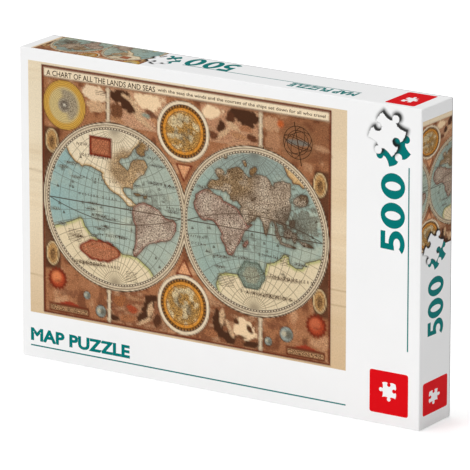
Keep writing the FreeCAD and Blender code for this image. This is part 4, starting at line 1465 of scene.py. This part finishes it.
@dataclass
class PaperWrap:
    """A printed paper wrap: over the panel and walls of a board shell, round its rim and a little way inside."""

    name: str
    node: str                        # the CAD node that it stands for
    body: str
    half_width: float
    low: float
    high: float
    panel: float                     # Y of the panel's outside
    rim: float                       # Y of the rim
    prints: dict[str, FacePrint]
    fold: float = 1.05               # radius of the folded edges
    wall: float = 1.6                # thickness of a wall, with its paper
    paper: float = 0.15
    turn_in: float = 16.0
    pitch: float = 2.6               # spacing of the points along the folds
    edge: float = 0.6                # breadth of the grey strip along the rim, a painted shade where lid and tray meet
    walls: tuple[str, ...] = ("bottom", "right", "top", "left")

    def __post_init__(self) -> None:
        """Works out the loop that runs round the shell, through the centres of its folded corners."""
        self.way = 1.0 if self.rim > self.panel else -1.0
        self.depth = abs(self.rim - self.panel)
        half = np.array([self.half_width - self.fold, (self.high - self.low) / 2 - self.fold])
        self.half = half
        self.middle = np.array([0.0, (self.low + self.high) / 2])
        corners = half * np.array([(-1, -1), (1, -1), (1, 1), (-1, 1)])
        normals = np.array([(0, -1), (1, 0), (0, 1), (-1, 0)], float)
        centres, outward, straight = [], [], []
        for k in range(4):
            a, b = corners[k], corners[(k + 1) % 4]
            long = float(np.linalg.norm(b - a))
            t = np.linspace(0, 1, 1 + max(2, round(long / self.pitch)))
            pictures = self.prints.get(self.walls[k], FacePrint()).pictures
            ends = [(u - self.fold) / long for picture in pictures for u in (picture.left, picture.right)]
            t = np.sort(np.append(t, ends))[:, None]
            centres.append(a + t * (b - a))
            outward.append(np.repeat(normals[k : k + 1], len(t), 0))
            straight.append(np.full(len(t), k))
            turn = np.radians(np.linspace(90 * k - 90, 90 * k, 6)[1:-1])
            centres.append(np.repeat(b[None], 4, 0))
            outward.append(np.stack([np.cos(turn), np.sin(turn)], 1))
            straight.append(np.full(4, -1))
        self.centres = np.concatenate(centres)
        self.outward = np.concatenate(outward)
        self.straight = np.concatenate(straight)
        self.rows = np.append(np.linspace(self.fold, self.depth - self.edge, 16), self.depth)

    def ring(self, out: float, deep: float) -> Array:
        """The loop at a given distance outside the corner centres and a given depth behind the panel.

        Outside them the loop's corners are arcs about the centres. Inside them they are sharp, and the loop is
        the rectangle of centres shrunk towards the middle.

        Args:
            out: The distance outwards, less than 0 for inwards.
            deep: The depth from the panel's outside.

        Returns:
            The loop's points, of shape (n, 3).
        """
        if out >= 0:
            flat = self.centres + out * self.outward
        else:
            flat = self.centres * (1 + out / self.half)
        flat = flat + self.middle
        return np.stack([flat[:, 0], np.full(len(flat), self.panel + self.way * deep), flat[:, 1]], 1)

    def band(
        self, surface: Surface, profile: list[tuple[float, float]], curved: bool = False, keep: Array | None = None,
        ink: Ink = Ink.CARD,
    ) -> None:
        """Adds the surface between rings, carrying a profile round the loop.

        Args:
            surface: The mesh in the making.
            profile: The (out, deep) of each ring.
            curved: Whether the surface is shaded as curved.
            keep: Which columns to add, or None for all.
            ink: The surface's finish.
        """
        rings = np.stack([self.ring(out, deep) for out, deep in profile])
        quads = tube_faces(*rings.shape[:2])
        if keep is not None:
            quads = quads[:, keep]
        quads = quads.reshape(-1, 4)
        surface.add(rings.reshape(-1, 3), quads if self.way > 0 else quads[:, ::-1], int(ink), curved)

    def face(self, surface: Surface, which: str, origin: Array, u: Array, v: Array, loop: Array) -> None:
        """Adds one flat printed face.

        Args:
            surface: The mesh in the making.
            which: The face's name among the prints.
            origin: The reading frame's origin.
            u: Its reading direction.
            v: Its upward direction.
            loop: The face's outline in that frame, of shape (n, 2).
        """
        printed = self.prints.get(which, FacePrint())
        low, high = loop.min(0), loop.max(0)
        loops = [loop]
        loose = [np.zeros((0, 2))]
        clipped = []
        for picture in printed.pictures:
            picture = replace(picture, low=max(picture.low, low[1]), high=min(picture.high, high[1]))
            clipped.append(picture)
            edge = picture.loop()
            along = np.isclose(edge[:, 1], low[1]) | np.isclose(edge[:, 1], high[1])
            corner = np.isclose(edge[:, 0], picture.left) | np.isclose(edge[:, 0], picture.right)
            loops.append(edge[~along | corner])
            loose.append(picture.points())
        marks = list(printed.marks)
        if which in self.walls:
            # Each wall's last rows by the rim are grey: painted shade where lid and tray meet.
            marks.append(Mark(Ink.RIM_SHADE, [bar_loop(low[0], high[0], low[1], self.depth - float(self.rows[-2]))]))
        for mark in marks:
            loops += mark.loops
        if printed.shadow is not None:
            a, b = printed.shadow.min(0) - 5, printed.shadow.max(0) + 6
            grid = np.stack(np.meshgrid(np.arange(a[0], b[0], 0.8), np.arange(a[1], b[1], 0.8)), 2).reshape(-1, 2)
            loose.append(grid)
        fine = np.concatenate(loose)
        fine = fine[((fine > low + 0.3) & (fine < high - 0.3)).all(1)]
        places, triangles = triangulate(loops, fine)
        centres = places[triangles].mean(1)
        inks = np.full(len(triangles), int(Ink.CARD))
        for picture in clipped:
            outline = bar_loop(picture.left, picture.right, picture.low, picture.high)
            inks[inside(centres, loop_segments(outline))] = Ink.PICTURE
        for mark in marks:
            segments = np.concatenate([loop_segments(one) for one in mark.loops])
            inks[inside(centres, segments)] = mark.ink
        values: dict[str, Array] = {"shade": printed.shade(places)}
        if clipped:
            on = clipped[0].on_sheet(places)
            used = np.unique(triangles[inks == Ink.PICTURE])
            painted = Painting(MapSheet(), on[used, 0], on[used, 1]).values()
            for name, value in painted.items():
                whole = np.zeros((len(places), *value.shape[1:]))
                whole[used] = value
                values[name] = whole
        points = origin + places[:, :1] * u + places[:, 1:] * v
        surface.add(points, triangles, inks.tolist(), **values)

    def make(self, materials: Materials) -> bpy.types.Object:
        """Builds the wrap and hides the CAD node that it stands for.

        The outside is the flat faces, the rounded folds between them, the rim and the turn-in. The paper's
        inner side runs back from the turn-in's edge, so that the sheet is closed.

        Args:
            materials: The finishes by name.

        Returns:
            The wrap's object.
        """
        surface = Surface()
        r, deep = self.fold, self.depth
        angles = np.radians(np.linspace(0, 90, 6))
        self.band(surface, [(r * math.sin(a), r * (1 - math.cos(a))) for a in angles], True)
        corners = (self.straight < 0) | (np.roll(self.straight, -1) < 0)
        self.band(surface, [(r, float(d)) for d in self.rows[:-1]], True, corners)
        # The rim's own band is grey too: painted shade where lid and tray meet.
        self.band(surface, [(r, float(d)) for d in self.rows[-2:]], True, corners, Ink.RIM_SHADE)
        core = r - self.paper
        back = r - self.wall
        inner = [(r, deep), (back, deep)]
        inner += [(back, deep - self.turn_in * k / 4) for k in range(1, 5)]
        inner += [(back + self.paper, deep - self.turn_in), (back + self.paper, deep - self.paper)]
        inner += [(core, deep - self.paper)]
        inner += [(core * math.sin(a), r - core * math.cos(a)) for a in angles[::-1]]
        self.band(surface, inner)
        lining = self.ring(0.0, self.paper)
        order = list(range(len(lining)))
        surface.add(lining, [order if self.way < 0 else order[::-1]])
        across = np.array([self.way, 0.0, 0.0])
        corner = np.array([-self.way * self.half_width, self.panel, self.low])
        edge = self.ring(0.0, 0.0)
        flat = np.stack([(edge - corner) @ across, edge[:, 2] - self.low], 1)
        keep = np.linalg.norm(flat - np.roll(flat, 1, 0), axis=1) > 1e-6
        flat = flat[keep] if self.way > 0 else flat[keep][::-1]
        self.face(surface, "panel", corner, across, np.array([0.0, 0.0, 1.0]), flat)
        v = np.array([0.0, -self.way, 0.0])
        for k, which in enumerate(self.walls):
            side = self.straight == k
            outward = np.array([self.outward[side][0, 0], 0.0, self.outward[side][0, 1]])
            u = np.cross(v, outward)
            line = self.ring(r, deep)[side]
            line = line if (line[-1] - line[0]) @ u > 0 else line[::-1]
            origin = line[0] - r * u
            low_edge = np.stack([(line - origin) @ u, np.zeros(len(line))], 1)
            high_edge = low_edge[::-1] + (0.0, deep - r)
            rows = (deep - self.rows)[::-1][1:-1]
            right_edge = np.stack([np.full(len(rows), low_edge[-1, 0]), rows], 1)
            left_edge = np.stack([np.full(len(rows), low_edge[0, 0]), rows[::-1]], 1)
            outline = np.concatenate([low_edge, right_edge, high_edge, left_edge])
            self.face(surface, which, origin, u, v, outline)
        slots = [materials[n] for n in ("card", "picture", "teal", "red", "sepia", "edge")]
        made = surface.make(self.name, slots)
        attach(made, self.body)
        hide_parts(self.node)
        return made


# ---------------------------------------------------------------- the bag and the pieces


@dataclass
class CutPuzzle:
    """The loose pieces as they lie in the bag. The cut, the heap and every draw are those of the CAD solids."""

    sheet: MapSheet
    inside_width: float
    inside_depth: float
    inside_low: float
    width: float = 470.0
    height: float = 330.0
    columns: int = 25
    rows: int = 20
    thickness: float = 2.0
    kerf: float = 0.06
    knob: float = 2.0
    fillet: float = 0.95
    rise: float = 2.9
    wander: float = 0.25
    knob_wander: float = 0.9
    space: float = 0.9               # from the tray's inside to the nearest piece
    tilt: float = 1.2
    clear: float = 0.3
    shift: float = 4.0
    shoulder: tuple[int, int] = (0, 2)
    crown: tuple[int, int] = (3, 6)
    seed: int = 500
    press: float = 0.24              # how far the die rounds the printed face's edge

    def __post_init__(self) -> None:
        """Works out the heap's cells and layers, and draws the cut's crossings and knobs."""
        self.step = (self.width / self.columns, self.height / self.rows)
        self.reach = max(self.step) / 2 + self.rise + self.knob + self.wander
        self.cell = 2 * self.reach + self.clear
        self.layer = self.thickness + 2 * self.reach * math.sin(math.radians(self.tilt)) + self.clear
        draw = random.Random(self.seed)
        self.crossing = {}
        for r in range(self.rows + 1):
            for c in range(self.columns + 1):
                dx = draw.uniform(-self.wander, self.wander) if 0 < c < self.columns else 0.0
                dy = draw.uniform(-self.wander, self.wander) if 0 < r < self.rows else 0.0
                self.crossing[r, c] = (c * self.step[0] + dx, r * self.step[1] + dy)
        self.knobs = {}
        for r in range(self.rows + 1):
            for c in range(self.columns + 1):
                for way in ("along_x", "along_y"):
                    side = draw.choice((-1, 1))
                    self.knobs[way, r, c] = (side, draw.uniform(-self.knob_wander, self.knob_wander))

    def tiers(self) -> list[tuple[int, int]]:
        """The heap's columns and layers, tier by tier from the bottom."""
        wide = self.inside_width - 2 * (self.space + self.shift)
        deep = self.inside_depth - 2 * self.space
        full = (int(wide // self.cell), int(deep // self.layer))
        shoulder, crown = ((full[0] - less[0], full[1] - less[1]) for less in (self.shoulder, self.crown))
        left = self.rows * self.columns
        found = []
        while left > shoulder[0] * shoulder[1] + crown[0] * crown[1]:
            found.append(full)
            left -= full[0] * full[1]
        found.append(shoulder)
        if left > shoulder[0] * shoulder[1]:
            found.append(crown)
        return found

    def places(self) -> list[tuple[Array, float, float, float, bool]]:
        """Each piece's middle, turn, lean, direction of lean, and whether its plain back shows in front."""
        draw = random.Random(self.seed + 1)
        found = []
        for tier, (columns, layers) in enumerate(self.tiers()):
            for layer in range(layers):
                shift = draw.uniform(-self.shift, self.shift)
                y = (layer - (layers - 1) / 2) * self.layer
                for column in range(columns):
                    x = (column - (columns - 1) / 2) * self.cell + shift
                    z = self.inside_low + self.space + self.reach + tier * self.cell
                    yaw = draw.uniform(0.0, 360.0)
                    lean = draw.uniform(-self.tilt, self.tilt)
                    lean_way = draw.uniform(0.0, 360.0)
                    shows_back = draw.random() < 0.4
                    found.append((np.array([x, y, z]), yaw, lean, lean_way, shows_back))
        draw.shuffle(found)
        return found[: self.rows * self.columns]

    def side(self, way: str, r: int, c: int) -> Array:
        """One cut edge's points from its crossing onwards, without the last.

        The line runs to the neck, round a small hollow, round the knob, round the second hollow and on. The
        hollows touch the line and the knob, so their centres lie one fillet above the line.

        Args:
            way: "along_x" or "along_y".
            r: The row of its first crossing.
            c: The column of its first crossing.

        Returns:
            The points, of shape (n, 2).
        """
        start = np.array(self.crossing[r, c])
        end = np.array(self.crossing[(r, c + 1) if way == "along_x" else (r + 1, c)])
        if r in (0, self.rows) if way == "along_x" else c in (0, self.columns):
            return start[None]
        length = np.linalg.norm(end - start)
        u = (end - start) / length
        side, offset = self.knobs[way, r, c]
        n = np.array([-u[1], u[0]]) * side
        middle = length / 2 + offset
        rise = self.rise - self.fillet
        spread = math.sqrt((self.knob + self.fillet) ** 2 - rise**2)
        lean = math.degrees(math.atan2(rise, spread))
        first = arc(-spread, self.fillet, self.fillet, self.fillet, -90, lean, 2)
        ball = arc(0, self.rise, self.knob, self.knob, 180 + lean, -lean, 5)
        last = arc(spread, self.fillet, self.fillet, self.fillet, 180 - lean, 270, 2)
        local = np.concatenate([first, ball[1:-1], last])
        return np.concatenate([start[None], start + u * (middle + local[:, :1]) + n * local[:, 1:]])

    def outline(self, r: int, c: int) -> Array:
        """A piece's outline on the picture, anticlockwise, less the kerf."""
        parts = []
        for way, row, column, forward in (
            ("along_x", r, c, True), ("along_y", r, c + 1, True),
            ("along_x", r + 1, c, False), ("along_y", r, c, False),
        ):
            run = self.side(way, row, column)
            if not forward:
                end = self.crossing[(row, column + 1) if way == "along_x" else (row + 1, column)]
                run = np.concatenate([np.array([end]), run[:0:-1]])
            parts.append(run)
        return self.inset(np.concatenate(parts), self.kerf)

    @staticmethod
    def inset(loop: Array, distance: float) -> Array:
        """An anticlockwise loop moved inwards: each point goes along the mean of its two edges' normals."""
        ahead = np.roll(loop, -1, 0) - loop
        normal = np.stack([-ahead[:, 1], ahead[:, 0]], 1) / np.linalg.norm(ahead, axis=1, keepdims=True)
        mean = normal + np.roll(normal, 1, 0)
        return loop + distance * mean / np.linalg.norm(mean, axis=1, keepdims=True)

    def piece(self, r: int, c: int) -> tuple[Array, list[list[int]], list[int], Array]:
        """One piece lying flat about its square's middle.

        Args:
            r: Its row, from the picture's foot.
            c: Its column.

        Returns:
            Its points, its faces, their finishes (0 printed, 1 board), and each point's place on the picture.
        """
        middle = np.array([(c + 0.5) * self.step[0], (r + 0.5) * self.step[1]])
        loop = self.outline(r, c)
        top_loop = self.inset(loop, self.press)
        inner = np.stack(np.meshgrid([-5.0, 0.0, 5.0], [-4.4, 0.0, 4.4]), 2).reshape(-1, 2) + middle
        flat, triangles = triangulate([top_loop], inner)
        triangles = triangles[inside(flat[triangles].mean(1), loop_segments(top_loop))]
        n = len(loop)
        half = self.thickness / 2
        order = np.array([int(np.argmin(((flat - p) ** 2).sum(1))) for p in top_loop])
        on_picture = np.concatenate([flat, loop, loop])
        heights = np.concatenate([np.full(len(flat), half), np.full(n, half - self.press), np.full(n, -half)])
        points = np.column_stack([on_picture - middle, heights])
        faces = triangles.tolist()
        finishes = [0] * len(faces)
        upper, lower = len(flat), len(flat) + n
        for k in range(n):
            m = (k + 1) % n
            faces.append([upper + k, upper + m, int(order[m]), int(order[k])])
            faces.append([lower + k, lower + m, upper + m, upper + k])
            finishes += [0, 1]
        faces.append([lower + k for k in range(n)][::-1])
        finishes.append(1)
        return points, faces, finishes, on_picture

    @staticmethod
    def laid(points: Array, place: tuple[Array, float, float, float, bool]) -> Array:
        """Turns a flat piece as its place says: by its yaw, then its lean, then up to face front or back."""
        middle, yaw, lean, lean_way, shows_back = place

        def about(axis: tuple[float, float, float], degrees: float) -> Array:
            a, t = np.array(axis), math.radians(degrees)
            cross = np.array([[0, -a[2], a[1]], [a[2], 0, -a[0]], [-a[1], a[0], 0]])
            return np.eye(3) + math.sin(t) * cross + (1 - math.cos(t)) * cross @ cross

        tipping = (math.cos(math.radians(lean_way)), math.sin(math.radians(lean_way)), 0.0)
        turn = about((1, 0, 0), -90 if shows_back else 90) @ about(tipping, lean) @ about((0, 0, 1), yaw)
        return points @ turn.T + middle

    def make(self, materials: Materials) -> None:
        """Builds the pieces, one object for each row of the picture, from its foot up."""
        where = self.places()
        to_sheet = np.array([self.sheet.width / self.width, self.sheet.height / self.height])
        for r in range(self.rows):
            surface = Surface()
            spots, starts = [], []
            for c in range(self.columns):
                points, faces, finishes, on_picture = self.piece(r, c)
                starts.append(surface.count)
                spots.append(on_picture * to_sheet)
                surface.add(self.laid(points, where[r * self.columns + c]), faces, finishes)
            spot = np.concatenate(spots)
            painted = Painting(self.sheet, spot[:, 0], self.sheet.height - spot[:, 1]).values()
            for name, value in painted.items():
                surface.values[name] = [(0, value)]
            name = f"loose_pieces_row_{r + 1:02d}"
            made = surface.make(name, [materials["piece_face"], materials["blue_board"]])
            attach(made, "bag")
            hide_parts(f"puzzle_row_{r + 1:02d}")
        log.info("%d loose pieces in %d rows", self.rows * self.columns, self.rows)


@dataclass
class FilmBag:
    """The sealed film bag: full sides over the heap, a slack neck, and a crimped seal along its top."""

    half_width: float
    full: float                      # half its thickness over the heap
    low: float
    heap_top: float
    top: float
    seal: float = 12.0
    crown_half: float = 9.4          # half the heap's thickness at its top
    shoulder: float = 93.0           # where the heap begins to narrow
    slack: float = 0.55              # how far creases stand out from the full shape
    rib: float = 1.5                 # spacing of the seal's crimps
    crimp: float = 0.16              # how far they stand out
    foot: float = 1.9                # radius of the fold along its foot
    end: float = 2.3                 # how far in from its ends it starts to close
    flat: float = 0.45               # half its thickness at the seal
    columns: int = 152               # of points, along X

    def half_thickness(self, z: Array) -> Array:
        """Half the bag's thickness at a height: full, narrowing over the heap's crown, then in to the seal.

        Each stretch runs along a smooth step between its two ends' thicknesses, and the foot is a quarter round.
        """
        base = np.full_like(z, self.full)
        base -= (self.full - self.crown_half) * np.clip((z - self.shoulder) / (self.heap_top - self.shoulder), 0, 1)
        neck = blend(self.heap_top, self.top - self.seal, z)
        base = base * (1 - neck) + self.flat * neck
        rise = np.clip((z - self.low) / self.foot, 0, 1)
        return base - self.foot * (1 - np.sqrt(np.clip(1 - (1 - rise) ** 2, 0, 1)))

    def creases(self, x: Array, z: Array, seed: int) -> Array:
        """How far the film stands out: sharp ridges where soft noise crosses its middle value.

        The ridges lean and lengthen towards the seal, where the slack film is drawn together.
        """
        drawn = blend(self.shoulder, self.top - self.seal, z)
        found = np.zeros_like(x)
        for k, size in enumerate((34.0, 17.0, 9.0)):
            noise = mottle(x * (1 + 0.8 * drawn) + 0.35 * z, z * (0.75 - 0.5 * drawn), size, seed + k)
            found += (1 - np.clip(np.abs(noise - 0.5) * 7, 0, 1)) ** 2 / (k + 1)
        return self.slack * found * (1 + 1.6 * drawn)

    def make(self, materials: Materials) -> bpy.types.Object:
        """Builds the bag as a closed tube along X whose section is worked out at each place.

        Args:
            materials: The finishes by name.

        Returns:
            The bag's object.
        """
        x = np.linspace(-self.half_width, self.half_width, self.columns)
        heights = np.concatenate([
            self.low + self.foot * (1 - np.cos(np.linspace(0, math.pi / 2, 6))),
            np.linspace(self.low + 4, self.top - self.seal, 76),
            np.linspace(self.top - self.seal + self.rib / 4, self.top, round(4 * self.seal / self.rib)),
        ])
        across, up = np.meshgrid(x, heights, indexing="ij")
        half = self.half_thickness(up)
        close = np.clip((np.abs(across) - (self.half_width - self.end)) / self.end, 0, 1)
        rounding = np.sqrt(np.clip(1 - close**2, 0, 1))
        sealed = up > self.top - self.seal
        ribs = self.crimp * np.sin(2 * math.pi * (up - self.top) / self.rib) * sealed
        sway = 1.3 * (mottle(across, up * 0.5, 42, 7) - 0.5) * blend(self.heap_top, self.top - self.seal, up)
        sides = []
        for sign, seed in ((-1, 301), (1, 351)):
            out = half + self.creases(across, up, seed) * (1 - sealed) * blend(self.low, self.low + 8, up)
            y = sign * out * rounding + ribs + 2.0 * sway
            sides.append(np.stack([across, y, up], 2))
        front, back = sides
        grid = np.concatenate([front[:, ::-1], back], 1)
        quads = tube_faces(*grid.shape[:2]).reshape(-1, 4)[:, [0, 3, 2, 1]]
        surface = Surface()
        surface.add(grid.reshape(-1, 3), quads, curved=True)
        made = surface.make("clear_film_bag", [materials["film"]])
        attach(made, "bag")
        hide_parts("bag_film")
        log.info("film bag: %d points", len(made.data.vertices))
        return made


# ---------------------------------------------------------------- the whole


@dataclass
class BoardShells:
    """The greyboard shells and their corner stays, which keep their CAD shapes and get their real finish."""

    materials: Materials

    def dress(self) -> None:
        """Puts greyboard on the shells and kraft paper on the stays."""
        for node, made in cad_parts.items():
            kind = "greyboard" if node.endswith("_board") else "kraft" if "_stay_" in node else None
            if kind:
                made.data.materials.clear()
                made.data.materials.append(self.materials[kind])
                log.info("%s: %s", node, kind)


@dataclass(frozen=True)
class Studio:
    """A pale floor, soft lights and the camera."""

    azimuth: float = 32.923
    elevation: float = 15.763
    distance: float = 3.8114
    target: tuple[float, float, float] = (0.0021, 0.0, 0.11115)
    sensor: float = 36.0
    focal: float = 413.8

    def light(self, name: str, origin: tuple[float, float, float], strength: float) -> None:
        """Adds a very broad, distant light that shines from a place towards the box."""
        data = bpy.data.lights.new(name, "SUN")
        data.angle = math.radians(35)
        data.energy = strength
        made = bpy.data.objects.new(name, data)
        made.location = origin
        made.rotation_euler = (-Vector(origin)).to_track_quat("-Z", "Y").to_euler()
        bpy.context.scene.collection.objects.link(made)

    def make(self) -> None:
        """Builds the floor, the lights, the even surround and the camera."""
        floor = bpy.data.meshes.new("floor")
        floor.from_pydata([(-15, -15, 0), (15, -15, 0), (15, 15, 0), (-15, 15, 0)], [], [(0, 1, 2, 3)])
        ground = bpy.data.objects.new("floor", floor)
        bpy.context.scene.collection.objects.link(ground)
        floor.materials.append(new_material("lit_studio_floor", {
            "Base Color": rgba("#fbfbfb"), "Roughness": 0.9,
            "Emission Color": rgba("#ffffff"), "Emission Strength": 0.22,
        })[0])
        self.light("front", (-1.1, -2.0, 0.75), 1.17)
        self.light("overhead", (-0.2, 0.1, 3.0), 1.85)
        world = bpy.data.worlds.new("studio")
        world.use_nodes = True
        world.node_tree.nodes["Background"].inputs["Color"].default_value = rgba("#ffffff")
        world.node_tree.nodes["Background"].inputs["Strength"].default_value = 0.28
        bpy.context.scene.world = world
        bpy.context.scene.view_settings.view_transform = "Standard"
        data = bpy.data.cameras.new("camera")
        data.sensor_width = self.sensor
        data.lens = self.focal
        data.clip_end = 100
        camera = bpy.data.objects.new("camera", data)
        a, e = math.radians(self.azimuth), math.radians(self.elevation)
        back = Vector((math.sin(a) * math.cos(e), -math.cos(a) * math.cos(e), math.sin(e)))
        camera.location = Vector(self.target) + back * self.distance
        camera.rotation_mode = "QUATERNION"
        camera.rotation_quaternion = (-back).to_track_quat("-Z", "Y")
        bpy.context.scene.collection.objects.link(camera)
        bpy.context.scene.camera = camera


def millimetres(node: str) -> tuple[Array, Array]:
    """A CAD node's lowest and highest corners, in millimetres."""
    low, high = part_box(node)
    return np.array(low) / MM, np.array(high) / MM


def main() -> None:
    """Builds the box, the bag and the pieces round the CAD frame."""
    logging.basicConfig(level=logging.INFO, format="%(message)s")
    sheet = MapSheet()
    materials = Finishes(sheet).make()
    lid_low, lid_high = millimetres("lid_wrap")
    tray_low, tray_high = millimetres("tray_wrap")
    bag_low, bag_high = millimetres("bag_film")
    width, height, depth = lid_high[0] - lid_low[0], lid_high[2] - lid_low[2], lid_high[1] - lid_low[1]
    art = Artwork(sheet, float(width), float(height), float(depth))
    short, long = art.wall(float(height), False, True), art.wall(float(width), True, False)
    lid = PaperWrap(
        "printed_lid_wrap", "lid_wrap", "lid", float(lid_high[0]), float(lid_low[2]), float(lid_high[2]),
        float(lid_low[1]), float(lid_high[1]),
        {"panel": art.panel(), "right": short, "left": short, "top": long, "bottom": long},
    )
    log.info("lid wrap: %d points", len(lid.make(materials).data.vertices))
    tray = PaperWrap(
        "printed_tray_wrap", "tray_wrap", "tray", float(tray_high[0]), float(tray_low[2]), float(tray_high[2]),
        float(tray_high[1]), float(tray_low[1]), {"panel": art.back()},
    )
    log.info("tray wrap: %d points", len(tray.make(materials).data.vertices))
    BoardShells(materials).dress()
    puzzle = CutPuzzle(
        sheet,
        inside_width=float(width) - 2 * WALL_INSIDE,
        inside_depth=float(tray_high[1] - lid_low[1]) - 2 * PANEL_INSIDE,
        inside_low=WALL_INSIDE,
    )
    puzzle.make(materials)
    heap_top = puzzle.inside_low + puzzle.space + len(puzzle.tiers()) * puzzle.cell
    film = FilmBag(float(bag_high[0]), float(bag_high[1]), float(bag_low[2]), float(heap_top), float(bag_high[2]))
    film.make(materials)
    Studio().make()


if __name__ == "__main__":
    main()
